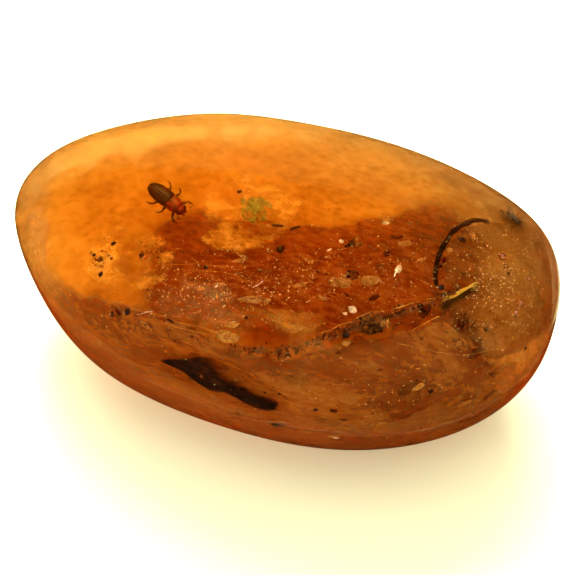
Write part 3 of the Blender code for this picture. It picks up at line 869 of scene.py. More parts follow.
def veil(window, name, depth, wave, patches, material, outline=None):
    """A sheet that is kept only near its patches, and within the outline of pixels if there is one."""
    centres = window.laid(patches, depth)
    shape = [window.plane(pixel) for pixel in outline or ()]

    def cover_at(place, out):
        amount = patchwork(place, centres)
        if shape and amount > 0 and out.dot(window.back) > 0:
            inner = 0.4 * wobble(place * 0.9, depth) - outside(shape, *window.flat(place))
            amount *= max(0.0, min(1.0, 0.5 + inner / FLANK_FADE))
        return amount

    sheet(window, name, depth, wave, cover_at, material, FINE_SHEET)


# A bed's cells, how far it keeps from the skin and over how far it fades in there, in millimetres
BED_CELL = 0.2
BED_CLEARANCE = 0.6
BED_FADE = 1.6
BED_RAGGED = 0.5
# All beds roll alike, so that none cuts through another
BED_SEED = 1.5


def bed(window, name, drop, wave, patches, material):
    """A cloudy bed under the parting plane, clear of the skin and kept near any patches."""
    centres = []
    for x, y, radius, strength in patches:
        point, _, inside = window.enter((x, y))
        over = point.z - (parting(point.y) - drop)
        run = over / (math.tan(PARTING_TILT) * inside.y - inside.z)
        centres.append((point + inside * run, radius, strength))
    bm = bmesh.new()
    bmesh.ops.create_grid(bm, x_segments=int(2 * HALF_LENGTH / BED_CELL),
                          y_segments=int(2 * HALF_WIDTH / BED_CELL), size=1.0)
    cover = bm.verts.layers.float.new("cover")
    for v in bm.verts:
        place = Vector((v.co.x * HALF_LENGTH, v.co.y * HALF_WIDTH, 0.0))
        roll = wobble(place * 0.28, BED_SEED) + 0.35 * wobble(place * 1.1, BED_SEED)
        place.z = parting(place.y) - drop + wave * roll
        v.co = place
        spot, out, _, gap = window.skin.find_nearest(place)
        inner = gap if (place - spot).dot(out) < 0 else -gap
        fade = max(0.0, min(1.0, (inner - BED_CLEARANCE) / BED_FADE))
        v[cover] = fade * (min(1.0, patchwork(place, centres, BED_RAGGED)) if centres else 1.0)
    trim(name, bm, cover, BED_LEAST, material)


# Dark, middle and light colour of each clouding, and of each veil of painted light
CLOUDING_AND_PAINTED_LIGHT = {
    "brown": ((0.2, 0.055, 0.012), (0.36, 0.125, 0.024), (0.54, 0.25, 0.055)),
    "red": ((0.12, 0.018, 0.003), (0.28, 0.055, 0.008), (0.5, 0.15, 0.02)),
    "ember": ((0.44, 0.34, 0.22), (0.68, 0.6, 0.42), (0.84, 0.8, 0.66)),
    "blood": ((0.14, 0.04, 0.02), (0.27, 0.09, 0.04), (0.45, 0.21, 0.08)),
    "gold": ((0.6, 0.46, 0.22), (0.88, 0.8, 0.52), (1.0, 0.98, 0.9)),
    # The colours of the painted amber glints
    "glow": ((0.5, 0.17, 0.02), (0.72, 0.31, 0.045), (0.88, 0.52, 0.1)),
    # The colours of the painted reflection haze
    "haze": ((0.44, 0.19, 0.045), (0.58, 0.28, 0.075), (0.72, 0.4, 0.12)),
    "crescent": ((0.5, 0.2, 0.05), (0.8, 0.4, 0.11), (0.98, 0.66, 0.26)),
    # The colours of the painted glow along the low edge
    "painted_edge_glow": ((0.5, 0.15, 0.03), (0.78, 0.28, 0.06), (0.96, 0.48, 0.14)),
    "soot": ((0.02, 0.01, 0.004), (0.06, 0.028, 0.01), (0.22, 0.1, 0.03)),
    "umber": ((0.3, 0.16, 0.05), (0.52, 0.3, 0.1), (0.74, 0.48, 0.18)),
    "smudge": ((0.05, 0.03, 0.01), (0.12, 0.08, 0.03), (0.32, 0.24, 0.08)),
    # The colours of the painted highlight under the left shoulder
    "painted_highlight_honey": ((0.8, 0.48, 0.09), (0.94, 0.68, 0.18), (1.0, 0.84, 0.36)),
    "dusk": ((0.07, 0.02, 0.005), (0.2, 0.062, 0.012), (0.42, 0.16, 0.03)),
}
# How far the streaks are drawn out along the stone
LONG = (0.35, 1.0, 1.0)
BROAD = (0.6, 1.0, 1.0)
# Depths of the three veils of painted highlight under the left shoulder
SHOULDER_HIGHLIGHT_DEPTHS = (0.8, 1.2, 1.6)


def veil_material(name, tint, streak, grain, opacity, edge, lit_through=0.5, softness=0.45,
                  full=0.6, low=0.0):
    """Cloudy resin or painted light in a thin layer: streaks of three colours that thin out to the low
    share.
    """
    shade = Shade(name)
    at = shade.place() * streak
    broad = shade.noise(0.22 * grain, 5.0, 0.4, at, 0.6)
    fine = shade.noise(1.2 * grain, 6.0, 0.9, at, 0.72)
    grit = shade.cells(2.4 * grain, at=at)
    cover = shade.cover()
    body = broad * 0.7 + fine * 0.3
    rag = shade.span(body + cover * 0.5, edge + 0.1, edge + 0.1 + softness, low)
    tone = shade.span(fine * 0.36 + broad * 0.52 + grit * 0.12, 0.33, 0.66)
    colour = shade.ramp(tone, *zip((0.0, 0.5, 1.0), CLOUDING_AND_PAINTED_LIGHT[tint]))
    shade.set(Base_Color=colour, Roughness=0.65, Specular_IOR_Level=0.0)
    return shade.sheer(rag * cover.least(full) * (opacity / full), colour, lit_through)


def rind_material():
    """The faintly cloudy rind: golden at the left end, browner at the right, and redder low down."""
    shade = Shade("cloudy rind")
    place = shade.place()
    mottle = shade.noise(0.35, 5.0, 0.5, place, 0.6)
    left = shade.mix(mottle, (0.95, 0.56, 0.09), (1.0, 0.76, 0.2))
    right = shade.mix(mottle, (0.36, 0.13, 0.03), (0.6, 0.28, 0.07))
    low = shade.mix(mottle, (0.54, 0.14, 0.022), (0.88, 0.34, 0.07))
    colour = shade.mix(shade.span(shade.part(place, "X"), *RIND_ENDS), left, right)
    colour = shade.mix(shade.span(shade.part(place, "Z"), *RIND_LEVELS), low, colour)
    shade.set(Base_Color=colour, Roughness=0.5, Specular_IOR_Level=0.0)
    return shade.sheer(shade.cover() * shade.span(mottle, 0.2, 0.7, 0.75, 1.0), colour, 0.6)


class COPAL_OT_veils(bpy.types.Operator):
    """Makes the cloudy flow veils under the skin, and the veils of painted highlight, glow and
    reflection.
    """

    bl_idname = "copal.veils"
    bl_label = "Flow veils"

    def execute(self, context):
        window = lens_window()
        veil(window, "flank_veil", 1.3, 0.5, FLANK_PATCHES,
             veil_material("flank clouding", "brown", LONG, 1.3, 0.82, 0.54, softness=0.6, low=0.25),
             FLANK_OUTLINE)
        veil(window, "flank_veil_deep", 3.2, 1.0, FLANK_PATCHES,
             veil_material("deep flank clouding", "red", LONG, 0.9, 0.85, 0.45), FLANK_OUTLINE)
        bed(window, "ember_bed", 2.4, 0.7, (),
            veil_material("ember bed", "ember", BROAD, 0.9, 0.97, 0.12, full=1.0))
        bed(window, "red_bed", 1.5, 0.5, RED_PATCHES,
            veil_material("red bed", "blood", LONG, 1.3, 0.95, 0.38, softness=0.66, full=0.8))
        bed(window, "gold_bed", 0.9, 0.3, GOLD_PATCHES,
            veil_material("golden bed", "gold", BROAD, 3.4, 0.9, 0.78, softness=0.28))
        bed(window, "smudge_bed", 0.4, 0.1, SMUDGE_PATCHES,
            veil_material("bed smudges", "smudge", BROAD, 3.0, 0.75, 0.7, 0.2, 0.4))
        # Painted highlights: amber glints along the old flow's edge and in the flank
        veil(window, "painted_amber_glints", 1.5, 0.4, PAINTED_GLINT_PATCHES,
             veil_material("painted amber glints", "glow", LONG, 2.4, 0.6, 0.62, softness=0.6))
        # A painted reflection, laid as brown haze
        veil(window, "shoulder_reflection_haze", 0.7, 0.2, REFLECTION_HAZE_PATCHES,
             veil_material("painted reflection haze", "haze", LONG, 3.0, 0.36, 0.62))
        veil(window, "flow_dirt", 2.3, 0.4, DIRT_PATCHES,
             veil_material("flow dirt", "soot", LONG, 2.6, 0.85, 0.52, 0.2))
        # Painted highlight: three golden veils under the far left shoulder
        for number, depth in enumerate(SHOULDER_HIGHLIGHT_DEPTHS, start=1):
            grain = 0.5 + 0.2 * number
            veil(window, f"shoulder_painted_highlight_{number}", depth, 0.2, SHOULDER_HIGHLIGHT_PATCHES,
                 veil_material(f"painted shoulder highlight {number}", "painted_highlight_honey", LONG, grain, 0.24, 0.3))
        veil(window, "end_crescent", 1.9, 0.15, CRESCENT_PATCHES,
             veil_material("end crescent", "crescent", LONG, 1.6, 0.7, 0.3, softness=0.6, low=0.4))
        veil(window, "right_shade", 0.9, 0.2, RIGHT_PATCHES,
             veil_material("right shade", "dusk", BROAD, 1.2, 0.36, 0.3, softness=0.6, low=0.4))
        # A painted glow along the low edge
        veil(window, "painted_low_glow", 0.8, 0.2, PAINTED_LOW_GLOW_PATCHES,
             veil_material("painted low glow", "painted_edge_glow", LONG, 1.2, 0.34, 0.3, softness=0.6, low=0.4))
        veil(window, "left_rim", 1.0, 0.2, RIM_PATCHES,
             veil_material("left rim", "umber", LONG, 1.2, 0.45, 0.32, softness=0.6, low=0.2))
        self.dome(window)
        self.rind(window)
        return {"FINISHED"}

    def dome(self, window):
        """The smoky inner skin of the right end, with its clear edge."""
        material = veil_material("dome clouding", "dusk", BROAD, 1.2, 0.6, 0.38, low=0.3)
        outline = [window.flat(window.seen(pixel, DOME_DEPTH)) for pixel in DOME_OUTLINE]
        opening = window.laid(DOME_OPENING, DOME_DEPTH)

        def cover_at(place, out):
            if out.dot(window.back) < 0:
                return 0.0
            inner = min(1.0, 1.0 - outside(outline, *window.flat(place)) / DOME_EDGE)
            return inner * (1.0 - min(1.0, patchwork(place, opening)))

        sheet(window, "dome_veil", DOME_DEPTH, 0.15, cover_at, material, FINE_SHEET)

    def rind(self, window):
        """The rind all round, cloudiest along a belt round its outline as the camera sees it, which is
        painted rim light.
        """
        line = RIM_LIGHT_LINE.normalized()

        def cover_at(place, out):
            return RIND_COVER + RIM_LIGHT_COVER * math.exp(-(out.dot(line) / RIM_LIGHT_WIDTH) ** 2)

        sheet(window, "rind_veil", 0.5, 0.12, cover_at, rind_material(), SHEET_FINENESS)


def mottled(name, dark, light, scale, rough=(0.5, 0.8), relief=0.02, stretch=(1, 1, 1),
            heading=0.0, cracks=0.0, coat=0.0, gloss=0.06, fade=None):
    """An opaque finish: two colours in soft mottles, broken by fine grain and cracks."""
    shade = Shade(name)
    turn = {"Vector": shade.place(), "Angle": math.radians(-heading)}
    at = shade.add("ShaderNodeVectorRotate", {"rotation_type": "Z_AXIS"}, turn) * stretch
    broad = shade.noise(scale, 4.0, 0.3, at)
    fine = shade.noise(scale * 5, 6.0, 0.6, at, 0.6)
    tone = shade.span(broad * 0.6 + fine * 0.4, 0.36, 0.64)
    height = fine + broad * 0.8
    if cracks:
        groove = shade.span(shade.cells(scale * 1.6, "DISTANCE_TO_EDGE", at), 0.0, 0.12)
        height = height + groove * cracks
        tone = tone * (groove * 0.6 + 0.4)
    colour = shade.mix(tone, dark, light)
    shade.set(Base_Color=colour, Roughness=shade.span(fine, 0.3, 0.7, *rough), Coat_Weight=coat)
    shade.set(Coat_Roughness=0.12, Specular_IOR_Level=gloss)
    shade.bump(height, 0.7, relief)
    return shade.sheer(fade(shade), colour, 0.2) if fade else shade.material


# Flakes by tint: the pixel's x and y, depth, length, width and turn
FLAKES = {
    "tan": (
        (340, 285, 1.6, 1.7, 0.75, -6), (372, 283, 1.6, 1.5, 0.75, 8), (254, 301, 0.8, 2.3, 0.5, -3),
        (300, 287, 1.5, 1, 0.3, 15), (309, 263, 2, 0.8, 0.3, -20), (408, 246, 2, 1.3, 0.5, 12),
        (391, 222, 2.8, 1, 0.5, 8), (219, 286, 0.9, 1, 0.35, -4), (386, 326, 1, 0.75, 0.6, 20),
        (240, 262, 1.6, 1.2, 0.3, 10), (189, 318, 0.9, 0.8, 0.25, -12), (423, 262, 1.5, 0.8, 0.3, 30),
        (323, 300, 1.2, 0.7, 0.25, -30), (144, 325, 0.8, 1.6, 0.35, -24), (462, 345, 1.1, 0.9, 0.3, 20),
    ),
    "gold": (
        (228, 338, 0.9, 1.8, 0.8, -6), (232, 326, 1, 1, 0.45, 10), (297, 331, 1.4, 0.9, 0.5, 14),
        (465, 404, 1, 1.1, 0.45, 8), (340, 428, 0.9, 1.6, 0.28, -4), (380, 424, 0.9, 1.5, 0.24, 2),
        (477, 238, 1.4, 0.9, 0.4, 80), (452, 252, 1.4, 0.6, 0.4, 35), (420, 388, 1.1, 0.9, 0.4, 20),
        (335, 437, 0.7, 0.9, 0.2, -6), (200, 290, 1.2, 0.6, 0.2, 0), (347, 345, 1.1, 0.6, 0.4, 0),
    ),
    "rust": (
        (354, 278, 2, 1, 0.8, 0), (389, 256, 1.9, 0.6, 0.5, 40), (399, 239, 2.2, 1, 0.4, 10),
        (426, 314, 1, 1.2, 0.7, 52), (490, 395, 1.1, 1.3, 0.6, 24), (410, 390, 1.5, 1.6, 0.9, 20),
        (297, 380, 1.8, 1.7, 1, -10), (335, 411, 1.1, 0.6, 0.4, 0), (345, 420, 1, 0.6, 0.25, -8),
        (447, 262, 1.6, 0.7, 0.35, 60), (460, 336, 1.7, 1.6, 0.8, 60), (117, 312, 0.9, 0.7, 0.3, -28),
        (480, 355, 1.6, 1.6, 0.7, 14), (376, 300, 1.6, 0.9, 0.4, 24),
    ),
    "pale": (
        (400, 271, 1.2, 0.75, 0.45, 62), (353, 311, 0.9, 0.62, 0.5, -40),
        (330, 252, 1.6, 0.4, 0.14, 28), (216, 287, 0.5, 0.3, 0.14, 40), (492, 248, 1.4, 0.5, 0.4, 0),
        (337, 438, 0.5, 0.45, 0.2, 5), (389, 225, 2.4, 0.55, 0.3, 12), (342, 243, 1.5, 0.35, 0.3, 0),
        (346, 315, 0.8, 0.3, 0.2, 0),
    ),
}
FLAKE_TINTS = {
    "tan": ((0.36, 0.13, 0.02), (0.64, 0.32, 0.08)),
    "gold": ((0.46, 0.2, 0.03), (0.76, 0.46, 0.12)),
    "rust": ((0.05, 0.008, 0.002), (0.16, 0.028, 0.004)),
    "pale": ((0.8, 0.55, 0.26), (0.98, 0.92, 0.74)),
}


def flake_material(name, dark, light):
    """A brittle flake with fine striations, see-through where it thins."""
    shade = Shade(name)
    place = shade.place()
    striae = shade.noise(2.4, 5.0, 0.5, place * (0.7, 2.4, 1.6), 0.65)
    thin = shade.noise(1.3, 4.0, 0.6, place, 0.6)
    colour = shade.mix(shade.span(striae, 0.36, 0.64), dark, light)
    shade.set(Base_Color=colour, Roughness=0.5, Specular_IOR_Level=0.0)
    shade.bump(striae, 0.6, 0.03)
    return shade.sheer(shade.span(thin, 0.3, 0.58, 0.15, 0.95), colour, 0.5)


FLAKE_THICKNESS = 0.1
LOOSE_THICKNESS = 0.05
# Loose flakes: tint, centre pixel, spread in pixels, depths, count, and lengths in millimetres
LOOSE_FLAKES = (
    ("tan", (290, 280), (70, 20), (0.5, 2.4), 34, (0.08, 0.4)),
    ("tan", (380, 380), (90, 30), (0.5, 1.8), 26, (0.08, 0.4)),
    ("tan", (180, 300), (50, 18), (0.4, 1.4), 20, (0.06, 0.3)),
    ("gold", (430, 370), (60, 30), (0.5, 1.6), 20, (0.08, 0.35)),
    ("gold", (290, 325), (70, 12), (0.5, 1.6), 18, (0.08, 0.35)),
    ("gold", (130, 275), (30, 16), (0.8, 3.0), 20, (0.08, 0.3)),
    ("rust", (340, 275), (80, 20), (0.6, 2.6), 40, (0.08, 0.4)),
    ("rust", (400, 385), (80, 28), (0.6, 2.2), 40, (0.1, 0.5)),
    ("rust", (470, 330), (30, 24), (0.8, 2.4), 24, (0.1, 0.5)),
    ("pale", (320, 280), (80, 24), (0.4, 1.8), 22, (0.05, 0.16)),
    ("pale", (500, 290), (24, 30), (0.4, 1.4), 18, (0.05, 0.14)),
)


class COPAL_OT_flakes(bpy.types.Operator):
    """Makes the small flakes of old resin and bark, by tint."""

    bl_idname = "copal.flakes"
    bl_label = "Resin flakes"

    def execute(self, context):
        window = lens_window()
        for tint, rows in FLAKES.items():
            rand = dice(tint)
            clay = Clay()
            for seed, (x, y, depth, length, width, turn) in enumerate(rows, start=1):
                clay.place = window.faced((x, y), depth, turn, rand.uniform(-14, 14))
                clay.flake(length, width, FLAKE_THICKNESS, seed + len(tint), 0.35)
            for kind, *cloud in LOOSE_FLAKES:
                if kind == tint:
                    self.scatter(window, clay, rand, *cloud)
            dark, light = FLAKE_TINTS[tint]
            dress(clay.done(f"{tint}_flakes"), [flake_material(f"{tint} flake", dark, light)])
        return {"FINISHED"}

    def scatter(self, window, clay, rand, centre, spread, depths, count, lengths):
        """Loose flakes round a pixel, tumbled a little out of the skin's lie."""
        for _ in range(count):
            spot = scattered(rand, centre, spread)
            place = window.maybe(spot, rand.uniform(*depths))
            if place is not None:
                tumble = (rand.uniform(-0.5, 0.5), rand.uniform(-0.5, 0.5), rand.gauss(-0.1, 0.5))
                clay.place = window.faced(spot, 0.0)
                clay.place.translation = place
                clay.place = clay.place @ Euler(tumble).to_matrix().to_4x4()
                length = lengths[0] + (lengths[1] - lengths[0]) * rand.random() ** 2
                width = length * rand.uniform(0.2, 0.6)
                clay.flake(length, width, LOOSE_THICKNESS, rand.uniform(1, 99), 0.8, sides=14)


# Dark specks: the pixel's x and y, depth, half-sizes and turn
SPECKS = (
    (95, 262, 3.2, (0.24, 0.16, 0.12), 10), (107, 247, 3.6, (0.24, 0.12, 0.1), 6),
    (138, 258, 2.6, (0.18, 0.18, 0.12), 0), (88, 258, 3.6, (0.15, 0.11, 0.1), 0),
    (99, 275, 1.4, (0.22, 0.16, 0.12), 20), (112, 314, 0.7, (0.16, 0.2, 0.12), 0),
    (127, 312, 0.7, (0.2, 0.28, 0.14), -20), (170, 321, 0.5, (0.32, 0.09, 0.08), -24),
    (432, 392, 0.9, (0.19, 0.17, 0.12), 0), (347, 337, 0.9, (0.26, 0.2, 0.16), 0),
    (488, 331, 0.9, (0.2, 0.18, 0.12), 0), (526, 349, 0.5, (0.13, 0.12, 0.1), 0),
    (549, 328, 0.4, (0.07, 0.06, 0.05), 0), (466, 241, 1.5, (0.36, 0.2, 0.14), 5),
    (246, 319, 0.9, (0.14, 0.1, 0.08), 0), (205, 269, 1.4, (0.16, 0.12, 0.1), 0),
    (511, 275, 1.1, (0.18, 0.13, 0.1), 0), (443, 289, 0.9, (0.25, 0.2, 0.15), 30),
    (236, 193, 4, (0.2, 0.14, 0.1), 0), (317, 410, 1, (0.16, 0.13, 0.1), 0),
)
# The debris band's way, as pixels
BAND_ROUTE = (
    (226, 352), (255, 354), (285, 356), (315, 348), (345, 334), (372, 326), (402, 316), (424, 312),
    (446, 302), (462, 292),
)
BAND_CRUMBS = 380
BAND_CRUMB_SIZE = 0.085
BAND_SPREAD = 2.8
# Crumbs get a finer mesh from this size on
FINE_CRUMB = 0.06
# Clumps of crumbs off the band: pixel, spread in pixels, count and size
CLUMPS = (
    ((98, 262), (14, 7), 30, 0.07), ((150, 252), (22, 8), 26, 0.06), ((120, 310), (9, 5), 16, 0.07),
    ((190, 340), (26, 5), 24, 0.05), ((466, 326), (8, 9), 22, 0.09), ((285, 390), (16, 5), 16, 0.06),
    ((410, 225), (16, 10), 16, 0.07),
)


class COPAL_OT_debris(bpy.types.Operator):
    """Makes the band of bark crumbs along the old flow's edge, and the dark specks."""

    bl_idname = "copal.debris"
    bl_label = "Debris"

    def execute(self, context):
        window = lens_window()
        rand = dice("debris")
        clay = Clay()
        for seed, (x, y, depth, size, turn) in enumerate(SPECKS, start=1):
            clay.place = window.faced((x, y), depth, turn)
            clay.lump((0, 0, 0), size, 0.35, 1.5, seed, 4)
        soot = mottled("sooty speck", (0.006, 0.004, 0.003), (0.05, 0.02, 0.01), 5.0,
                       relief=0.03, cracks=0.4)
        dress(clay.done("dark_specks"), [soot])
        crumbs = Clay()
        rows = [(scattered(rand, centre, (across / 2, down / 2)), size)
                for centre, (across, down), count, size in CLUMPS for _ in range(count)]
        for _ in range(BAND_CRUMBS):
            leg = rand.randrange(len(BAND_ROUTE) - 1)
            share = rand.random()
            (ax, ay), (bx, by) = BAND_ROUTE[leg:leg + 2]
            y = ay + (by - ay) * share + rand.gauss(0, BAND_SPREAD)
            rows.append(((ax + (bx - ax) * share, y), BAND_CRUMB_SIZE))
        for spot, size in rows:
            depth, turn = rand.uniform(1.2, 3.0), rand.gauss(12, 40)
            crumbs.place = window.faced(spot, depth, turn, rand.uniform(-40, 40))
            crumbs.finish = rand.choice((0, 0, 1, 1, 2))
            reach = size * (0.3 + 1.1 * rand.random() ** 2)
            half = (reach * rand.uniform(1.0, 2.6), reach, reach * 0.6)
            seed = rand.uniform(1, 99)
            crumbs.lump((0, 0, 0), half, 0.7, 1.3, seed, 3 if reach > FINE_CRUMB else 2)
        finishes = [
            mottled("dark crumb", (0.01, 0.004, 0.002), (0.09, 0.03, 0.008), 4.0,
                    relief=0.03, cracks=0.4),
            mottled("brown crumb", (0.08, 0.016, 0.003), (0.32, 0.09, 0.015), 4.0, relief=0.03),
            mottled("grey crumb", (0.06, 0.032, 0.014), (0.26, 0.15, 0.06), 4.0, relief=0.03),
        ]
        dress(crumbs.done("debris_band"), finishes)
        return {"FINISHED"}


# Fibres: tint, depth, radius and the pixels that each runs through; the gold ones are painted
# highlights, bright seams that stand for light caught along edges
FIBRES = (
    ("pale", 0.6, 0.028, ((252, 289), (258, 285), (263, 281))),
    ("pale", 0.5, 0.02, ((136, 315), (144, 313), (153, 312))),
    ("pale", 1.1, 0.045, ((395, 279), (397, 275), (401, 269))),
    ("dark", 0.5, 0.018, ((358, 434), (366, 439), (373, 447))),
    ("dark", 0.5, 0.014, ((363, 437), (368, 436), (374, 437))),
    ("dark", 0.5, 0.03, ((283, 425), (290, 428), (299, 433))),
    ("dark", 0.8, 0.02, ((138, 322), (160, 330), (185, 341), (207, 349))),
    ("dark", 0.8, 0.03, ((206, 340), (235, 347), (262, 350), (300, 347), (330, 339))),
    ("dark", 1.0, 0.04, ((330, 343), (352, 332), (380, 324), (410, 314), (440, 302), (462, 290))),
    ("gold", 1.0, 0.016, ((318, 336), (330, 332), (341, 326), (352, 323))),
    ("gold", 1.0, 0.02, ((356, 319), (372, 314), (385, 313))),
    ("gold", 1.0, 0.018, ((392, 310), (408, 307), (425, 301), (436, 299))),
    ("gold", 0.7, 0.012, ((130, 308), (160, 316), (200, 328), (235, 337))),
    ("gold", 0.7, 0.009, ((150, 322), (180, 328), (215, 337), (250, 342))),
    ("gold", 0.8, 0.022, ((413, 331), (422, 327), (432, 321), (441, 318))),
    ("gold", 0.8, 0.02, ((390, 320), (389, 326), (391, 333))),
    ("gold", 0.6, 0.012, ((250, 418), (290, 430), (340, 436), (390, 434))),
    ("gold", 0.7, 0.009, ((400, 345), (430, 352), (465, 356), (500, 350))),
    ("dark", 0.7, 0.014, ((440, 372), (470, 368), (500, 358), (525, 345))),
    ("dark", 0.8, 0.016, ((300, 398), (340, 404), (390, 406), (430, 402))),
    ("gold", 1.3, 0.01, ((183, 275), (200, 272), (222, 274), (240, 279))),
    ("gold", 1.5, 0.009, ((160, 268), (190, 266), (225, 268), (262, 266))),
    ("dark", 1.2, 0.016, ((430, 240), (426, 262), (430, 285), (440, 298))),
)
FIBRE_TINTS = {
    "pale": ((0.7, 0.5, 0.3), (0.98, 0.93, 0.8)),
    # The gold seams are painted highlights
    "gold": ((0.6, 0.22, 0.02), (0.95, 0.62, 0.12)),
    "dark": ((0.03, 0.012, 0.006), (0.12, 0.04, 0.015)),
}


class COPAL_OT_fibres(bpy.types.Operator):
    """Makes the fine threads and the gold seams of painted highlight, by tint."""

    bl_idname = "copal.fibres"
    bl_label = "Fibres and seams"

    def execute(self, context):
        window = lens_window()
        for tint, colours in FIBRE_TINTS.items():
            clay = Clay()
            for number, (kind, depth, radius, pixels) in enumerate(FIBRES):
                if kind == tint:
                    path = window.route(pixels, depth, 10)
                    radii = [0.6 * radius * max(0.12, 1 + 1.5 * wobble(p * 1.1, number)) for p in path]
                    radii[0] = radii[-1] = radius * 0.3
                    clay.strand(wavering(path, 0.9, number, 0.12), radii, 6)
            finish = mottled(f"{tint} fibre", *colours, 5.0, (0.3, 0.5), 0.01)
            dress(clay.done(f"{tint}_fibres"), [finish])
        return {"FINISHED"}


# Bubbles: the pixel's x and y, depth and radius
BUBBLES = (
    (485, 276, 0.9, 0.2), (493, 281, 0.9, 0.22), (505, 258, 0.9, 0.36), (508, 267, 0.8, 0.22),
    (522, 305, 0.7, 0.34), (517, 315, 0.7, 0.26), (490, 247, 1, 0.26), (478, 240, 1.2, 0.2),
    (531, 280, 0.7, 0.24), (500, 262, 0.8, 0.12), (513, 272, 0.8, 0.1), (498, 290, 0.8, 0.12),
    (515, 296, 0.7, 0.12), (526, 296, 0.7, 0.1), (470, 300, 0.8, 0.1), (534, 268, 0.7, 0.14),
    (540, 285, 0.6, 0.12), (510, 330, 0.7, 0.14), (415, 255, 1.2, 0.14), (300, 258, 1.4, 0.12),
    (202, 376, 0.9, 0.2), (180, 292, 0.8, 0.12), (233, 309, 0.7, 0.1), (356, 262, 1.4, 0.1),
    (455, 345, 0.8, 0.12),
)
# Tiny bubbles besides, in a cloud round one pixel with that spread in pixels
LOOSE_BUBBLES = 46
BUBBLE_CLOUD = ((512, 290), (18, 24))
# Bubbles get a finer mesh from this radius on
FINE_BUBBLE = 0.15


class COPAL_OT_bubbles(bpy.types.Operator):
    """Makes the tiny gas bubbles, most of them in the right end."""

    bl_idname = "copal.bubbles"
    bl_label = "Bubbles"

    def execute(self, context):
        window = lens_window()
        rand = dice("bubbles")
        clear = clear_shade("bubble", context.scene.copal_resin.ior).material
        clay = Clay()
        rows = list(BUBBLES)
        for _ in range(LOOSE_BUBBLES):
            spot = scattered(rand, *BUBBLE_CLOUD)
            rows.append((*spot, rand.uniform(0.5, 1.6), rand.uniform(0.03, 0.09)))
        for x, y, depth, radius in rows:
            clay.place = window.faced((x, y), depth)
            half = (radius, radius * 0.92, radius * 0.9)
            clay.lump((0, 0, 0), half, 0.0, 1.0, 0.0, 4 if radius > FINE_BUBBLE else 3)
        dress(clay.done("bubbles", hollow=True), [clear])
        return {"FINISHED"}


# Dust clouds: tint, centre pixel, spread in pixels, depths, count, and sizes in millimetres
DUST = (
    ("pale", (265, 280), (62, 20), (0.4, 2.2), 675, (0.016, 0.058)),
    ("pale", (350, 285), (55, 22), (0.5, 2.5), 487, (0.016, 0.054)),
    ("pale", (508, 292), (24, 30), (0.15, 0.9), 760, (0.018, 0.058)),
    ("pale", (190, 300), (50, 16), (0.3, 1.2), 315, (0.018, 0.057)),
    ("pale", (430, 260), (40, 22), (0.4, 1.8), 195, (0.018, 0.057)),
    ("pale", (380, 400), (90, 30), (0.4, 1.6), 315, (0.018, 0.057)),
    ("pale", (120, 290), (50, 30), (0.4, 2.0), 150, (0.018, 0.057)),
    ("dark", (270, 285), (80, 24), (0.4, 2.5), 315, (0.022, 0.081)),
    ("dark", (500, 290), (36, 40), (0.4, 1.8), 225, (0.022, 0.081)),
    ("dark", (300, 330), (90, 20), (0.5, 2.0), 225, (0.022, 0.097)),
    ("dark", (380, 380), (100, 34), (0.5, 2.0), 240, (0.022, 0.097)),
    ("dark", (250, 220), (90, 34), (1.0, 5.0), 120, (0.02, 0.06)),
)
# Grains all through the stone besides, with their sizes and depths in millimetres
LOOSE_DUST = 700
LOOSE_DUST_SIZES = (0.012, 0.04)
LOOSE_DUST_DEPTHS = (0.5, 4.0)


class COPAL_OT_dust(bpy.types.Operator):
    """Makes the dust: thousands of fine grains joined in two pieces."""

    bl_idname = "copal.dust"
    bl_label = "Dust"

    def execute(self, context):
        window = lens_window()
        rand = dice("dust")
        clays = {"pale": Clay(), "dark": Clay()}
        for tint, centre, spread, depths, count, sizes in DUST:
            made = 0
            while made < count:
                place = window.maybe(scattered(rand, centre, spread), rand.uniform(*depths))
                if place is not None:
                    size = sizes[0] + (sizes[1] - sizes[0]) * rand.random() ** 3
                    clays[tint].speck(place, size, rand)
                    made += 1
        for number in range(LOOSE_DUST):
            ray = Vector([rand.gauss(0, 1) for _ in range(3)]).normalized()
            point, out = pebble_surface(ray)
            size = rand.uniform(*LOOSE_DUST_SIZES)
            place = point - out * rand.uniform(*LOOSE_DUST_DEPTHS)
            clays["pale" if number % 2 else "dark"].speck(place, size, rand)
        pale = mottled("pale dust", (0.92, 0.76, 0.22), (1.0, 1.0, 0.52), 6.0, (0.3, 0.6))
        dark = mottled("dark dust", (0.01, 0.006, 0.004), (0.1, 0.03, 0.01), 6.0, (0.5, 0.8))
        dress(clays["pale"].done("pale_dust", False), [pale])
        dress(clays["dark"].done("dark_dust", False), [dark])
        return {"FINISHED"}


def placed(at, lift=0.0, heading=0.0, pitch=0.0, roll=0.0):
    """The frame of a sealed piece: on the parting plane at x, y, lifted from it, and its turn."""
    x, y = at
    turn = Euler([math.radians(a) for a in (roll, pitch, heading)]).to_matrix().to_4x4()
    return Matrix.Translation((x, y, parting(y) + lift)) @ turn


# The sealed insects' places, as their solids have them
BEETLE = dict(at=(-8.5, -0.75), lift=0.1, heading=-24.0, pitch=6.0, roll=24.0)
ANT = dict(at=(15.75, -4.15), lift=0.1, heading=149.0, roll=-16.0)
FLY = dict(at=(16.3, 6.7), lift=-0.7, heading=-38.0, pitch=-8.0, roll=14.0)
GNAT = dict(at=(5.85, -0.66), heading=217.0, pitch=4.0, roll=-10.0)
THRIPS = (
    dict(at=(0.2, -0.77), heading=11.0, roll=10.0),
    dict(at=(1.5, -0.58), heading=47.0, pitch=5.0, roll=-12.0),
)
MITE = dict(at=(1.13, -2.4), heading=80.0)
WEEVIL = dict(at=(4.75, -12.7), lift=-2.1, heading=4.0, pitch=-6.0, roll=15.0)
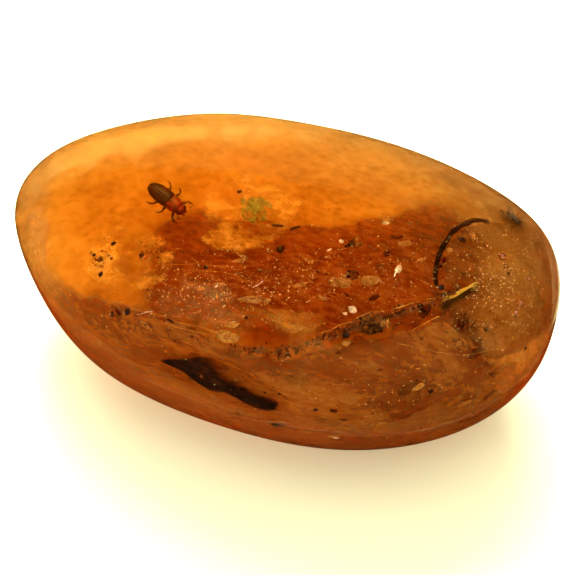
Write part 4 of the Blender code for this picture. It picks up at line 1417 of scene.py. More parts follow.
# A wing's rim from its hinge, and its veins: the rim's corner that each runs to, and how far
WING_OUTLINE = (
    (0.05, -0.05), (-0.35, -0.2), (-0.85, -0.27), (-1.18, -0.16), (-1.28, 0.02),
    (-1.1, 0.16), (-0.6, 0.17), (-0.1, 0.08),
)
WING_VEINS = ((1, 0.95), (2, 0.97), (3, 0.97), (4, 0.98), (5, 0.97), (6, 0.95))
WING_ROLL = 14.0
WING_DROOP = 7.0


def segments(cuts, depth, width):
    """Relief of a ringed rear: a groove at each cut."""
    return lambda x, turn: -depth * sum(math.exp(-((x - cut) / width) ** 2) for cut in cuts)


def shell(name, dark, light, coat=0.12):
    """Insect shell: dark, glossy and finely pitted."""
    return mottled(name, dark, light, 3.0, (0.22, 0.42), 0.012, cracks=0.15, coat=coat, gloss=0.2)


def eye_finish():
    """Dull red-brown faceted eyes."""
    shade = Shade("insect eye")
    facet = shade.cells(26.0)
    colour = shade.mix(shade.span(facet, 0.0, 0.6), (0.12, 0.03, 0.012), (0.02, 0.006, 0.004))
    shade.set(Base_Color=colour, Roughness=0.25, Specular_IOR_Level=0.2)
    return shade.bump(facet, 0.5, 0.01).material


def wing_finish():
    """A smoky clear wing."""
    shade = Shade("wing membrane")
    crease = shade.noise(4.0, 4.0, 1.0)
    colour = shade.mix(crease, (0.3, 0.15, 0.05), (0.6, 0.4, 0.18))
    shade.set(Base_Color=colour, Roughness=0.3)
    return shade.sheer(shade.span(crease, 0.3, 0.7, 0.35, 0.65), colour, 0.5)


def wings(clay, membrane, root, scale, spread):
    """A pair of veined wings laid back over the body; the clay takes the veins."""
    body = clay.place
    for side in (1, -1):
        turn = Euler([math.radians(a) for a in (side * -WING_ROLL, WING_DROOP, side * -spread)])
        hinge = Matrix.Translation((root[0], side * root[1], root[2])) @ turn.to_matrix().to_4x4()
        rim = rounded([(x * scale, side * y * scale, 0) for x, y in WING_OUTLINE], 4)
        middle = Vector((-0.6 * scale, 0, 0))
        membrane.place = body @ hinge @ Matrix.Translation(middle)
        around = [((p - middle).x, (p - middle).y) for p in rim]
        membrane.slab(around if side > 0 else around[::-1], 0.012, relief=0.01, grain=2.0, wear=1.0)
        clay.place = body @ hinge
        for index, share in WING_VEINS:
            x, y = WING_OUTLINE[index]
            end = Vector((x, side * y, 0)) * scale
            crook = end * 0.5 + Vector((0, side * 0.02, 0.02))
            path = rounded([(0, 0, 0), crook, end * share], 4)
            clay.strand(path, tapered(path, 0.016, 0.625), 5)
        clay.strand([p * 0.99 for p in rim], [0.01] * len(rim), 5)
    clay.place = body


class COPAL_OT_beetle(bpy.types.Operator):
    """Makes the slim wood-boring beetle."""

    bl_idname = "copal.beetle"
    bl_label = "Beetle"

    def execute(self, context):
        clay = Clay(placed(**BEETLE))

        def striae(x, turn):
            grooves = 0.012 * math.cos(22 * turn) * (0.6 + 0.4 * math.cos(46 * x))
            seam = -0.06 * math.exp(-((turn - math.pi / 2) / 0.07) ** 2)
            rim = -0.1 * math.exp(-((math.sin(turn) + 0.35) / 0.1) ** 2)
            return (grooves + seam if math.sin(turn) > -0.3 else 0) + rim

        def grained(x, turn):
            return 0.035 * wobble(Vector((x * 9, math.cos(turn) * 5, math.sin(turn) * 5)), 3)

        clay.body(((-1.97, 0.03, 0.03, 0.02), (-1.86, 0.26, 0.24, 0.02), (-1.5, 0.48, 0.44, 0.01),
                   (-0.9, 0.6, 0.55, 0), (-0.2, 0.61, 0.57, 0), (0.25, 0.55, 0.53, 0),
                   (0.44, 0.36, 0.36, 0), (0.47, 0.02, 0.02, 0)), 88, 7, striae)
        clay.finish = 2
        clay.body(((0.27, 0.02, 0.02, 0), (0.3, 0.42, 0.42, 0), (0.5, 0.54, 0.51, 0),
                   (0.85, 0.56, 0.53, 0), (1.2, 0.48, 0.46, 0), (1.42, 0.3, 0.3, -0.02),
                   (1.47, 0.02, 0.02, -0.02)), 44, 6, grained)
        clay.body(((1.18, 0.05, 0.05, -0.06), (1.3, 0.33, 0.3, -0.08), (1.52, 0.4, 0.36, -0.1),
                   (1.74, 0.3, 0.27, -0.14), (1.86, 0.16, 0.14, -0.18), (1.92, 0.02, 0.02, -0.2)),
                  28, 5, grained)
        clay.finish = 0
        clay.pair((((1.76, 0.13, -0.22), (1.92, 0.16, -0.28), (2.0, 0.05, -0.32)),), clay.strand,
                  (0.07, 0.055, 0.015), 7)
        clay.pair((
            ((1.05, 0.3, -0.35), (1.3, 0.78, -0.5), (1.62, 0.82, -0.86), (1.86, 0.8, -0.9)),
            ((0.25, 0.3, -0.35), (0.3, 0.88, -0.55), (0.02, 1.08, -0.88), (-0.22, 1.12, -0.92)),
            ((-0.35, 0.3, -0.35), (-0.7, 0.88, -0.5), (-1.12, 1.00, -0.88), (-1.4, 1.02, -0.9)),
        ), clay.jointed, 0.17)
        clay.pair((((1.6, 0.25, 0.02), (1.76, 0.42, 0.1), (1.9, 0.55, 0.1), (2.02, 0.6, 0.02)),),
                  clay.beaded, 0.07, 9, 2.2)
        clay.bristles(260, 0.09, dice("beetle"))
        clay.eyes(1.55, 0.33, 0.02, (0.12, 0.08, 0.13), 4)
        dark = shell("beetle shell", (0.009, 0.004, 0.003), (0.06, 0.016, 0.008))
        front = shell("beetle front", (0.05, 0.009, 0.003), (0.34, 0.055, 0.012))
        dress(clay.done("beetle_in_copal"), [dark, eye_finish(), front], ("beetle",))
        return {"FINISHED"}


class COPAL_OT_ant(bpy.types.Operator):
    """Makes the ant."""

    bl_idname = "copal.ant"
    bl_label = "Ant"

    def execute(self, context):
        clay = Clay(placed(**ANT))
        clay.body(((-1.46, 0.02, 0.02, 0.02), (-1.38, 0.16, 0.15, 0), (-1.15, 0.33, 0.31, -0.03),
                   (-0.85, 0.37, 0.34, -0.05), (-0.58, 0.24, 0.22, -0.02), (-0.46, 0.06, 0.06, 0)),
                  26, 8, segments((-1.28, -1.05, -0.78), 0.07, 0.025))
        clay.body(((-0.52, 0.03, 0.04, 0), (-0.44, 0.08, 0.12, 0.02), (-0.36, 0.1, 0.17, 0.04),
                   (-0.28, 0.07, 0.09, 0.02), (-0.22, 0.05, 0.06, 0.02)), 16, 4)
        clay.body(((-0.34, 0.06, 0.07, 0), (-0.22, 0.15, 0.18, 0.03), (0, 0.17, 0.19, 0.05),
                   (0.14, 0.16, 0.17, 0.05), (0.32, 0.21, 0.22, 0.07), (0.48, 0.14, 0.15, 0.05),
                   (0.56, 0.05, 0.05, 0.03)), 22, 6, segments((-0.02, 0.17), 0.12, 0.03))
        clay.body(((0.46, 0.05, 0.05, 0.05), (0.52, 0.22, 0.18, 0.04), (0.72, 0.33, 0.26, 0.02),
                   (0.96, 0.28, 0.22, -0.02), (1.1, 0.17, 0.12, -0.05), (1.14, 0.03, 0.03, -0.06)),
                  26, 6)
        clay.pair((((1.04, 0.14, -0.08), (1.18, 0.17, -0.09), (1.27, 0.03, -0.1)),), clay.strand,
                  (0.06, 0.045, 0.012), 6)
        clay.pair((
            ((0.34, 0.1, -0.08), (0.62, 0.74, 0.22), (0.78, 1.1, -0.42), (0.96, 1.26, -0.56)),
            ((0.1, 0.1, -0.08), (0.08, 0.84, 0.24), (-0.08, 1.28, -0.42), (-0.2, 1.46, -0.56)),
            ((-0.14, 0.1, -0.08), (-0.46, 0.8, 0.24), (-0.92, 1.22, -0.42), (-1.2, 1.34, -0.56)),
        ), clay.jointed, 0.1)
        clay.pair((((0.98, 0.12, 0.12), (1.1, 0.32, 0.26), (1.2, 0.46, 0.3)),), clay.strand,
                  (0.035, 0.028, 0.03), 6)
        clay.pair((((1.2, 0.46, 0.3), (1.36, 0.54, 0.22), (1.58, 0.62, 0.06)),), clay.beaded,
                  0.05, 10, 1.7)
        clay.bristles(220, 0.1, dice("ant"), 0.01)
        clay.eyes(0.74, 0.3, 0.08, (0.07, 0.035, 0.06), 3)
        dark = shell("ant shell", (0.01, 0.005, 0.004), (0.06, 0.018, 0.009))
        dress(clay.done("ant_in_copal"), [dark, eye_finish()], ("ant",))
        return {"FINISHED"}


class COPAL_OT_fly(bpy.types.Operator):
    """Makes the fly at the right rim and its wings."""

    bl_idname = "copal.fly"
    bl_label = "Fly"

    def execute(self, context):
        clay = Clay(placed(**FLY))
        membrane = Clay()
        clay.body(((-0.26, 0.03, 0.03, 0.02), (-0.2, 0.18, 0.19, 0.03), (0, 0.29, 0.3, 0.03),
                   (0.2, 0.3, 0.3, 0.02), (0.38, 0.2, 0.2, 0), (0.47, 0.05, 0.05, -0.01)), 24, 6,
                  segments((0.24,), 0.05, 0.02))
        clay.body(((-0.98, 0.02, 0.02, -0.14), (-0.9, 0.1, 0.09, -0.12), (-0.7, 0.21, 0.19, -0.1),
                   (-0.45, 0.26, 0.24, -0.07), (-0.22, 0.2, 0.19, -0.02), (-0.12, 0.05, 0.05, 0)),
                  24, 8, segments((-0.84, -0.66, -0.47, -0.3), 0.07, 0.02))
        clay.body(((0.4, 0.03, 0.03, -0.02), (0.44, 0.2, 0.17, -0.02), (0.56, 0.27, 0.22, -0.02),
                   (0.68, 0.2, 0.17, -0.03), (0.75, 0.03, 0.03, -0.04)), 22, 5)
        clay.pair((
            ((0.3, 0.12, -0.15), (0.48, 0.5, -0.22), (0.62, 0.62, -0.52), (0.78, 0.6, -0.56)),
            ((0.1, 0.12, -0.15), (0.06, 0.6, -0.18), (-0.06, 0.8, -0.54), (-0.18, 0.84, -0.58)),
            ((-0.08, 0.12, -0.15), (-0.34, 0.56, -0.2), (-0.6, 0.72, -0.54), (-0.8, 0.74, -0.58)),
        ), clay.jointed, 0.08)
        clay.pair((((0.7, 0.05, 0.0), (0.8, 0.07, -0.03), (0.86, 0.08, -0.12)),), clay.beaded, 0.05, 4)
        clay.bristles(200, 0.1, dice("fly"), 0.009)
        wings(clay, membrane, (0.05, 0.16, 0.26), 0.92, 20)
        clay.eyes(0.56, 0.2, 0.02, (0.13, 0.1, 0.17), 4)
        dark = shell("fly shell", (0.012, 0.009, 0.006), (0.07, 0.045, 0.022))
        dress(clay.done("fly_in_copal"), [dark, eye_finish()], ("fly",))
        dress(membrane.done("fly_wings"), [wing_finish()])
        return {"FINISHED"}


class COPAL_OT_gnat(bpy.types.Operator):
    """Makes the gnat and its wings."""

    bl_idname = "copal.gnat"
    bl_label = "Gnat"

    def execute(self, context):
        clay = Clay(placed(**GNAT))
        membrane = Clay()
        clay.body(((-0.07, 0.02, 0.02, 0.02), (-0.03, 0.11, 0.13, 0.04), (0.12, 0.17, 0.2, 0.06),
                   (0.28, 0.13, 0.15, 0.03), (0.38, 0.03, 0.03, 0)), 20, 6)
        clay.body(((-0.56, 0.01, 0.01, -0.1), (-0.5, 0.05, 0.05, -0.09), (-0.28, 0.095, 0.1, -0.05),
                   (-0.08, 0.085, 0.09, -0.01), (0.04, 0.04, 0.04, 0.02)), 18, 8,
                  segments((-0.46, -0.36, -0.26, -0.16, -0.06), 0.1, 0.012))
        clay.lump((0.42, 0, -0.06), (0.11, 0.12, 0.12), 0.05, 2, 1, 4)
        clay.pair((
            ((0.24, 0.06, -0.08), (0.36, 0.36, -0.04), (0.48, 0.48, -0.3), (0.6, 0.5, -0.34)),
            ((0.12, 0.06, -0.08), (0.06, 0.4, -0.02), (-0.06, 0.56, -0.32), (-0.16, 0.6, -0.36)),
            ((0.02, 0.06, -0.08), (-0.22, 0.36, -0.02), (-0.46, 0.5, -0.32), (-0.62, 0.52, -0.36)),
        ), clay.jointed, 0.045)
        clay.pair((((0.48, 0.04, 0.0), (0.58, 0.1, 0.06), (0.68, 0.16, 0.05)),), clay.beaded, 0.03, 8)
        clay.bristles(150, 0.06, dice("gnat"), 0.006)
        wings(clay, membrane, (0.14, 0.08, 0.2), 0.72, 16)
        clay.eyes(0.45, 0.075, -0.04, (0.06, 0.05, 0.07), 3)
        dark = shell("gnat shell", (0.006, 0.004, 0.003), (0.03, 0.014, 0.008))
        dress(clay.done("gnat_in_copal"), [dark, eye_finish()], ("gnat",))
        dress(membrane.done("gnat_wings"), [wing_finish()])
        return {"FINISHED"}


class COPAL_OT_small_insects(bpy.types.Operator):
    """Makes the two thrips, the mite and the tiny weevil."""

    bl_idname = "copal.small_insects"
    bl_label = "Small insects"

    def execute(self, context):
        finishes = [shell("tiny shell", (0.008, 0.005, 0.004), (0.05, 0.02, 0.01)), eye_finish()]
        for number, spec in enumerate(THRIPS, start=1):
            thrips = self.thrips(placed(**spec), number).done(f"thrips_{number}_in_copal")
            dress(thrips, finishes, (f"thrips_{number}",))
        dress(self.mite().done("mite_in_copal"), finishes, ("mite",))
        dress(self.weevil().done("weevil_in_copal"), finishes, ("weevil",))
        return {"FINISHED"}

    def thrips(self, place, number):
        """A thrips with a ringed rear and folded fringed wings."""
        clay = Clay(place)
        clay.body(((-0.5, 0.005, 0.005, 0), (-0.44, 0.03, 0.03, 0), (-0.25, 0.085, 0.075, 0),
                   (0, 0.1, 0.085, 0), (0.15, 0.08, 0.07, 0)), 16, 8,
                  segments((-0.4, -0.32, -0.24, -0.16, -0.08, 0), 0.1, 0.01))
        clay.body(((0.04, 0.03, 0.03, 0), (0.1, 0.09, 0.08, 0), (0.25, 0.1, 0.09, 0),
                   (0.35, 0.05, 0.05, 0)), 16, 5, segments((0.2,), 0.1, 0.012))
        clay.body(((0.29, 0.03, 0.03, 0), (0.34, 0.07, 0.06, 0), (0.42, 0.07, 0.06, 0),
                   (0.48, 0.02, 0.02, -0.01)), 14, 4)
        clay.pair((
            ((0.26, 0.05, -0.03), (0.34, 0.17, -0.03), (0.38, 0.21, -0.12)),
            ((0.1, 0.05, -0.03), (0.04, 0.19, -0.03), (-0.02, 0.23, -0.12)),
        ), clay.jointed, 0.045)
        clay.pair((((0.46, 0.03, 0.01), (0.54, 0.06, 0.03), (0.62, 0.1, 0.02)),), clay.beaded, 0.025, 5)
        clay.pair((((0.2, 0.03, 0.09), (-0.1, 0.05, 0.1), (-0.42, 0.04, 0.06)),), clay.strand,
                  (0.014, 0.018, 0.004), 5)
        clay.bristles(60, 0.05, dice(f"thrips {number}"), 0.005)
        clay.eyes(0.41, 0.055, 0.01, (0.025, 0.02, 0.025), 3)
        return clay

    def mite(self):
        """A round mite on eight legs."""
        clay = Clay(placed(**MITE))
        clay.lump((-0.04, 0, 0.02), (0.3, 0.27, 0.21), 0.08, 2.4, 5, 5)
        clay.lump((0.29, 0, -0.03), (0.1, 0.08, 0.065), 0.1, 2.0, 6, 3)
        routes = []
        for bearing in (32, 62, 108, 140):
            ray = Matrix.Rotation(math.radians(bearing), 3, "Z") @ Vector((1, 0, 0))
            routes.append((ray * 0.16 + Vector((0, 0, -0.05)), ray * 0.36 + Vector((0, 0, 0.05)),
                           ray * 0.46 + Vector((0, 0, -0.08)), ray * 0.53 + Vector((0, 0, -0.17))))
        clay.pair(routes, clay.jointed, 0.055)
        clay.bristles(90, 0.09, dice("mite"), 0.006)
        return clay

    def weevil(self):
        """A tiny weevil with a drooping snout."""
        clay = Clay(placed(**WEEVIL))
        clay.body(((-0.44, 0.01, 0.01, 0), (-0.4, 0.09, 0.09, 0), (-0.2, 0.19, 0.19, 0),
                   (0.05, 0.2, 0.2, 0), (0.2, 0.13, 0.14, 0), (0.24, 0.02, 0.02, 0)), 40, 6,
                  lambda x, turn: 0.03 * math.cos(14 * turn) if math.sin(turn) > 0 else 0)
        clay.body(((0.13, 0.04, 0.04, 0), (0.18, 0.13, 0.13, -0.01), (0.3, 0.13, 0.13, -0.02),
                   (0.4, 0.07, 0.07, -0.03), (0.43, 0.02, 0.02, -0.03)), 22, 5)
        clay.strand(rounded(((0.34, 0, -0.02), (0.5, 0, -0.07), (0.62, 0, -0.16)), 5),
                    [0.055, 0.05, 0.045, 0.04, 0.04, 0.038, 0.038, 0.038, 0.04, 0.042, 0.036], 10)
        clay.pair((
            ((0.22, 0.06, -0.1), (0.34, 0.22, -0.14), (0.38, 0.24, -0.24), (0.42, 0.24, -0.27)),
            ((0.00, 0.06, -0.1), (0.00, 0.28, -0.14), (-0.04, 0.31, -0.24), (-0.08, 0.32, -0.27)),
            ((-0.16, 0.06, -0.1), (-0.26, 0.26, -0.14), (-0.33, 0.29, -0.24), (-0.38, 0.3, -0.27)),
        ), clay.jointed, 0.06)
        clay.pair((((0.52, 0.03, -0.07), (0.5, 0.1, -0.02), (0.58, 0.16, -0.05)),), clay.beaded,
                  0.025, 5, 2.0)
        clay.bristles(80, 0.05, dice("weevil"), 0.006)
        clay.eyes(0.38, 0.055, 0.01, (0.03, 0.02, 0.03), 3)
        return clay


# The sealed plant scraps' places and outlines, as their solids have them
SLIVER_PLACE = (0.0, -12.5, 0.0)
SLIVER_TURN = -4.0
SLIVER_OUTLINE = (
    (-4.3, -0.45), (-2.8, -0.62), (-1.4, -1.22), (-0.3, -1.65), (1.0, -1.35), (2.4, -1.8),
    (3.7, -1.95), (4.75, -1.55), (4.7, -0.3), (3.2, 0.85), (0.5, 1.3), (-0.7, 1.15), (-2.1, 0.5),
)
SLIVER_HEART = (0.7, -0.3)
SPLINTER = dict(at=(14.5, -2.0), heading=58.0)
SPLINTER_OUTLINE = (
    (-1.75, 0.05), (-1.2, -0.28), (-0.4, -0.36), (0.5, -0.3), (1.1, -0.42), (1.45, -0.16),
    (1.75, 0.12), (1.25, 0.22), (1.0, 0.46), (0.2, 0.34), (-0.7, 0.38), (-1.3, 0.24),
)
# Loose fibres at the splinter's ends, strips of painted golden highlight along it and frays at its tip
SPLINTER_FIBRES = 26
SPLINTER_HIGHLIGHT_STRIPS = 13
SPLINTER_FRAYS = 12
ROOTLET_ROUTE = (
    (14.8, 5.00), (13.8, 4.72), (13.05, 3.98), (12.53, 3.05), (12.22, 2.02),
    (12.08, 0.95), (12.08, -0.02), (12.26, -0.96), (12.62, -1.85),
)
ROOT_RADIUS = 0.21
ROOT_HAIRS = 34
CRUMB = dict(at=(9.37, -5.83), heading=28.0)
LEAF = dict(at=(-1.95, 0.1), heading=-28.0)
LEAF_SIZE = (2.7, 2.2)
LEAF_CORNERS = 90


def ragged_rim(outline, heart, steps, raggedness, seed):
    """The closed outline around its heart, with more corners and a torn edge."""
    loop = [(x, y, 0) for x, y in outline]
    path = rounded([loop[-1], *loop, loop[0], loop[1]], steps)[steps:-steps]
    rim = []
    for p in path[:-1]:
        away = p - Vector((*heart, 0))
        tear = 1 + raggedness * wobble(p * 2.6, seed) + 0.5 * raggedness * wobble(p * 7, seed)
        torn = away * tear
        rim.append((torn.x, torn.y))
    return rim


class COPAL_OT_scraps(bpy.types.Operator):
    """Makes the bark sliver, wood splinter, curled rootlet, bark crumb and leaf scrap."""

    bl_idname = "copal.scraps"
    bl_label = "Plant scraps"

    def execute(self, context):
        self.sliver()
        self.splinter()
        self.rootlet()
        self.crumb()
        self.leaf()
        return {"FINISHED"}

    def sliver(self):
        """The long near-black wedge of bark, upright behind the front flank."""
        turned = Matrix.Rotation(math.radians(SLIVER_TURN), 4, "Z")
        upright = turned @ Matrix.Rotation(math.pi / 2, 4, "X")
        heart = Matrix.Translation((*SLIVER_HEART, 0))
        clay = Clay(Matrix.Translation(SLIVER_PLACE) @ upright @ heart)
        rim = ragged_rim(SLIVER_OUTLINE, SLIVER_HEART, 7, 0.04, 2)
        clay.slab(rim, 0.5, relief=0.06, grain=1.6, seed=4, wear=0.6)

        def worn(shade):
            """Solid along its lower edge, rotted through towards its upper right."""
            place = shade.place()
            along = shade.part(place, "X")
            height = shade.part(place, "Z") - bpy.context.scene["girdle"][2] / MM
            streaks = shade.noise(0.9, 5.0, 0.5, place * (0.6, 1.5, 1.5)) - 0.5
            rise = (height + 1.75) * ((along - 1.0).most(0.0) * 0.35 + 1)
            rise = rise - (1.0 - along).most(0.0) * 0.5 + streaks * 2.6
            return 1 - shade.span(rise, 1.0, 2.6)

        bark = mottled("sliver bark", (0.004, 0.002, 0.002), (0.055, 0.014, 0.006), 1.6, (0.45, 0.8),
                       0.08, (0.5, 1.5, 1.5), cracks=0.7, fade=worn)
        dress(clay.done("sliver_in_copal"), [bark], ("bark_sliver",))

    def splinter(self):
        """The torn splinter with loose fibres at its ends."""
        clay = Clay(placed(**SPLINTER))
        rim = ragged_rim(SPLINTER_OUTLINE, (0, 0), 6, 0.06, 5)
        clay.slab(rim, 0.42, lift=lambda x, y: 0.03 * math.sin(x * 2.2), relief=0.05, grain=3.0, seed=7)
        rand = dice("splinter")
        for _ in range(SPLINTER_FIBRES):
            x, y = rand.choice((-1, 1)) * rand.uniform(0.9, 1.5), rand.uniform(-0.25, 0.28)
            z = rand.uniform(-0.16, 0.2)
            reach = math.copysign(rand.uniform(0.3, 0.7), x)
            path = rounded(((x, y, z), (x + reach * 0.5, y * 1.2, z + 0.03), (x + reach, y * 1.6, z)), 4)
            clay.strand(path, tapered(path, 0.03, 0.8), 5)
        # Bright gold strips in the second finish: painted highlights along the splinter
        clay.finish = 1
        for number in range(SPLINTER_HIGHLIGHT_STRIPS):
            start = rand.uniform(-1.7, 0.6)
            stop = min(start + rand.uniform(0.7, 1.6), 1.75)
            side, top = rand.uniform(0.16, 0.42), rand.uniform(0.16, 0.3)
            points = []
            for share in (0.0, 0.3, 0.6, 1.0):
                y = side + 0.05 * wobble(Vector((share * 2, side, 0)), number)
                z = top + 0.04 * wobble(Vector((share * 3, top, 1)), number)
                points.append((start + (stop - start) * share, y, z))
            path = rounded(points, 5)
            swells = [math.sin(math.pi * (i + 0.5) / len(path)) for i in range(len(path))]
            clay.strand(path, [0.042 * (0.4 + 1.2 * swell) for swell in swells], 6)
        for _ in range(SPLINTER_FRAYS):
            x, y = rand.uniform(0.7, 1.6), rand.uniform(-0.1, 0.3)
            bend = rand.uniform(-0.9, 0.3)
            middle, tip = (x + 0.22, y + bend * 0.3, 0.27), (x + 0.45, y + bend * 0.8, 0.24)
            path = rounded(((x, y, 0.2), middle, tip), 4)
            clay.strand(path, tapered(path, 0.02, 0.8), 5)
        heading = SPLINTER["heading"]
        wood = mottled("splinter wood", (0.006, 0.004, 0.002), (0.07, 0.045, 0.01), 3.0, (0.4, 0.75),
                       0.05, (0.35, 2.2, 2.2), heading, cracks=0.3)
        painted_strips = mottled("painted highlight strips", (0.8, 0.72, 0.16), (1.0, 1.0, 0.55), 4.0, (0.3, 0.5),
                      0.02, (0.4, 2.0, 2.0), heading)
        dress(clay.done("splinter_in_copal"), [wood, painted_strips], ("wood_splinter",))

    def rootlet(self):
        """The curled rootlet with its knots and root hairs."""
        clay = Clay()
        path = rounded([(x, y, parting(y)) for x, y in ROOTLET_ROUTE], 9)
        knots = [1 + 0.3 * wobble(p * 2.2, 3) + 0.22 * wobble(p * 6, 5) for p in path]
        radii = [radius * knot for radius, knot in zip(tapered(path, ROOT_RADIUS, 0.22), knots)]
        radii[0], radii[-1] = 0.07, 0.05
        path = wavering(path, 1.4, 11, 0.07)
        clay.strand(path, radii, 14)
        rand = dice("rootlet")
        for _ in range(ROOT_HAIRS):
            root = rand.choice(path)
            out = Vector([rand.gauss(0, 1) for _ in range(3)]).normalized()
            tip = root + (out + Vector((0, 0.3, 0))) * 0.42
            hair = rounded((root + out * 0.1, root + out * 0.3, tip), 3)
            clay.strand(hair, tapered(hair, 0.016, 0.75), 4)
        bark = mottled("rootlet bark", (0.006, 0.003, 0.002), (0.05, 0.016, 0.008), 2.6, (0.4, 0.7),
                       0.05, cracks=0.5)
        dress(clay.done("rootlet_in_copal"), [bark], ("curled_rootlet",))

    def crumb(self):
        """The knobbly crumb of bark."""
        clay = Clay(placed(**CRUMB))
        clay.lump((0, 0, 0), (0.82, 0.41, 0.36), 0.3, 2.0, 2, 6)
        bark = mottled("crumb bark", (0.006, 0.005, 0.004), (0.06, 0.03, 0.014), 3.0, (0.5, 0.85),
                       0.06, cracks=0.6)
        dress(clay.done("crumb_in_copal"), [bark], ("bark_crumb",))

    def leaf(self):
        """The crinkled scrap of leaf with its veins."""
        length, width = LEAF_SIZE
        clay = Clay(placed(**LEAF))
        rim = []
        for k in range(LEAF_CORNERS):
            turn = 2 * math.pi * k / LEAF_CORNERS
            x, y = math.cos(turn), math.sin(turn)
            torn = 1 + 0.12 * wobble(Vector((x * 2, y * 2, 4)), 2)
            torn += 0.07 * wobble(Vector((x * 6, y * 6, 4)), 2)
            rim.append((x * torn * length / 2, y * torn * width / 2))

        def crinkle(x, y):
            midrib = 0.05 * math.exp(-(y / 0.07) ** 2)
            veins = 0.025 * math.cos(9 * (x + 0.8 * abs(y))) ** 8
            return 0.11 * x * y + 0.12 * wobble(Vector((x * 1.3, y * 1.3, 9)), 1) + midrib + veins

        clay.slab(rim, 0.09, crinkle, 0.012, 4.0, 3, 0.9)
        middle = clay.place.translation + Vector(bpy.context.scene["girdle"]) / MM

        def tattered(shade):
            """Thin and torn, so that the resin behind it shows through in places."""
            away = shade.add("ShaderNodeVectorMath", {"operation": "DISTANCE"},
                             {0: shade.place(), 1: tuple(middle)}, out=1)
            torn = (shade.noise(1.2, 5.0, 0.6, roughness=0.65) - 0.5) * 1.9 + 0.52 + (0.8 - away) * 0.34
            return shade.span(torn, 0.34, 0.62, 0.0, 0.9)

        green = mottled("old leaf", (0.15, 0.2, 0.1), (0.46, 0.62, 0.42), 2.0, relief=0.03,
                        heading=LEAF["heading"], cracks=0.4, fade=tattered)
        dress(clay.done("leaf_in_copal"), [green], ("leaf_scrap",))


# The floor's half size in metres, and how far it lies under the stone in millimetres
FLOOR_HALF = 1.5
FLOOR_DROP = 0.02
SURROUND_COLOUR = (1.0, 0.985, 0.955)
# How often light may bounce or pass clear piece after clear piece, and pass thinned-out clouding
BOUNCES = 32
CLOUD_PASSES = 64
# Soft lamps: name, place and aim in metres, size in metres and power in watts
LAMPS = (
    ("back softbox", (-0.02, 0.06, 0.085), (-0.01, 0.045, 0.0), 0.09, 0.52),
    ("top softbox", (0.05, -0.1, 0.4), (0.0, 0.0, 0.0), 0.25, 0.55),
    ("left softbox", (-0.11, 0.09, 0.09), (-0.01, 0.0, 0.012), 0.09, 0.21),
    ("front softbox", (-0.03, -0.2, 0.11), (0.0, 0.0, 0.005), 0.16, 0.5),
)
# The light panel that only the polish mirrors: its middle, sizes, power and colour
SHEEN_PLACE = (0.002, 0.022, 0.0001)
SHEEN_SIZE = (0.056, 0.016)
SHEEN_POWER = 0.003
SHEEN_COLOUR = (1.0, 0.9, 0.4)


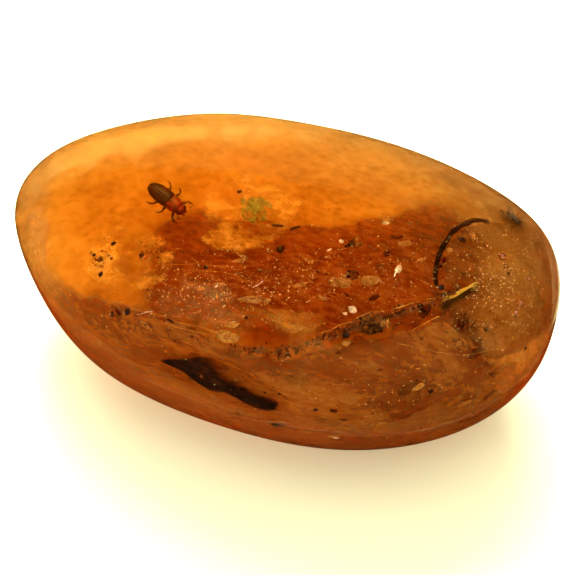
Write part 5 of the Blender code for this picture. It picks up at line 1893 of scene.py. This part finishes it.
class COPAL_OT_stage(bpy.types.Operator):
    """Lays the pale floor, sets the light and the camera."""

    bl_idname = "copal.stage"
    bl_label = "Stage"

    def execute(self, context):
        settings = context.scene.copal_stage
        shade = Shade("pale floor")
        light = tuple(settings.floor_colour)
        colour = shade.mix(shade.noise(0.012, 2.0), light, tuple(c * 0.97 for c in light))
        shade.set(Base_Color=colour, Roughness=0.55, Specular_IOR_Level=0.0)
        bm = bmesh.new()
        bmesh.ops.create_grid(bm, x_segments=8, y_segments=8, size=FLOOR_HALF)
        floor = to_object("floor", bm)
        floor.location.z = -FLOOR_DROP * MM
        floor.data.materials.append(shade.material)
        floor.visible_glossy = False
        self.light(context, settings)
        self.camera(context, settings)
        return {"FINISHED"}

    def light(self, context, settings):
        """A soft white surround and lamps that the polish doesn't mirror, and a panel it does."""
        world = bpy.data.worlds.new("soft surround")
        context.scene.world = world
        world.use_nodes = True
        nodes = world.node_tree.nodes
        nodes["Background"].inputs["Color"].default_value = (*SURROUND_COLOUR, 1.0)
        nodes["Background"].inputs["Strength"].default_value = settings.sky
        world.cycles_visibility.glossy = False
        context.scene.view_settings.view_transform = "Standard"
        cycles = context.scene.cycles
        cycles.max_bounces = BOUNCES
        cycles.transmission_bounces = BOUNCES
        cycles.transparent_max_bounces = CLOUD_PASSES
        for lamp in LAMPS:
            self.lamp(context, *lamp)
        sheen = self.lamp(context, "rim sheen", SHEEN_PLACE, SHEEN_PLACE, SHEEN_SIZE[0], SHEEN_POWER)
        sheen.rotation_euler = (math.pi, 0.0, 0.0)
        sheen.data.shape = "RECTANGLE"
        sheen.data.size_y = SHEEN_SIZE[1]
        sheen.data.color = SHEEN_COLOUR
        sheen.visible_glossy = True
        sheen.visible_diffuse = False
        sheen.visible_transmission = False

    def lamp(self, context, name, place, aim, size, power):
        """A square soft lamp, which the camera and the polish don't see."""
        lamp = bpy.data.lights.new(name, "AREA")
        lamp.size = size
        lamp.energy = power
        thing = bpy.data.objects.new(name, lamp)
        context.scene.collection.objects.link(thing)
        thing.location = place
        thing.rotation_euler = (Vector(place) - Vector(aim)).to_track_quat("Z", "Y").to_euler()
        thing.visible_glossy = False
        thing.visible_camera = False
        return thing

    def camera(self, context, settings):
        """The camera, at the photograph's angle on the stone."""
        girdle = Vector(context.scene["girdle"])
        back = towards_camera(settings)
        lens = bpy.data.cameras.new("camera")
        lens.lens = settings.lens
        lens.sensor_width = SENSOR
        lens.clip_start = 1 * MM
        lens.shift_x = (PICTURE / 2 - GIRDLE_PIXEL[0]) / PICTURE
        lens.shift_y = (GIRDLE_PIXEL[1] - PICTURE / 2) / PICTURE
        camera = bpy.data.objects.new("camera", lens)
        context.scene.collection.objects.link(camera)
        camera.location = girdle + back * settings.distance
        camera.rotation_euler = back.to_track_quat("Z", "Y").to_euler()
        context.scene.camera = camera


# The operators, in the order in which they build the model
PIECES = (
    COPAL_OT_resin, COPAL_OT_veils, COPAL_OT_flakes, COPAL_OT_debris, COPAL_OT_fibres,
    COPAL_OT_bubbles, COPAL_OT_dust, COPAL_OT_beetle, COPAL_OT_ant, COPAL_OT_fly, COPAL_OT_gnat,
    COPAL_OT_small_insects, COPAL_OT_scraps, COPAL_OT_stage,
)


class COPAL_PT_sidebar(bpy.types.Panel):
    """Lists the settings and the pieces."""

    bl_idname = "COPAL_PT_sidebar"
    bl_label = "Copal with insects"
    bl_space_type = "VIEW_3D"
    bl_region_type = "UI"
    bl_category = "Copal"

    def draw(self, context):
        for settings in (context.scene.copal_resin, context.scene.copal_stage):
            box = self.layout.box()
            for name in settings.bl_rna.properties.keys():
                if name not in ("rna_type", "name"):
                    box.prop(settings, name)
        for piece in PIECES:
            self.layout.operator(piece.bl_idname)


CLASSES = (StageSettings, ResinSettings, *PIECES, COPAL_PT_sidebar)


def register():
    for cls in CLASSES:
        bpy.utils.register_class(cls)
    bpy.types.Scene.copal_stage = PointerProperty(type=StageSettings)
    bpy.types.Scene.copal_resin = PointerProperty(type=ResinSettings)


def unregister():
    del bpy.types.Scene.copal_resin
    del bpy.types.Scene.copal_stage
    for cls in reversed(CLASSES):
        bpy.utils.unregister_class(cls)


def main():
    """Builds every piece."""
    register()
    bpy.ops.copal.resin()
    bpy.ops.copal.veils()
    bpy.ops.copal.flakes()
    bpy.ops.copal.debris()
    bpy.ops.copal.fibres()
    bpy.ops.copal.bubbles()
    bpy.ops.copal.dust()
    bpy.ops.copal.beetle()
    bpy.ops.copal.ant()
    bpy.ops.copal.fly()
    bpy.ops.copal.gnat()
    bpy.ops.copal.small_insects()
    bpy.ops.copal.scraps()
    bpy.ops.copal.stage()
    bpy.context.view_layer.update()


if __name__ == "__main__":
    main()
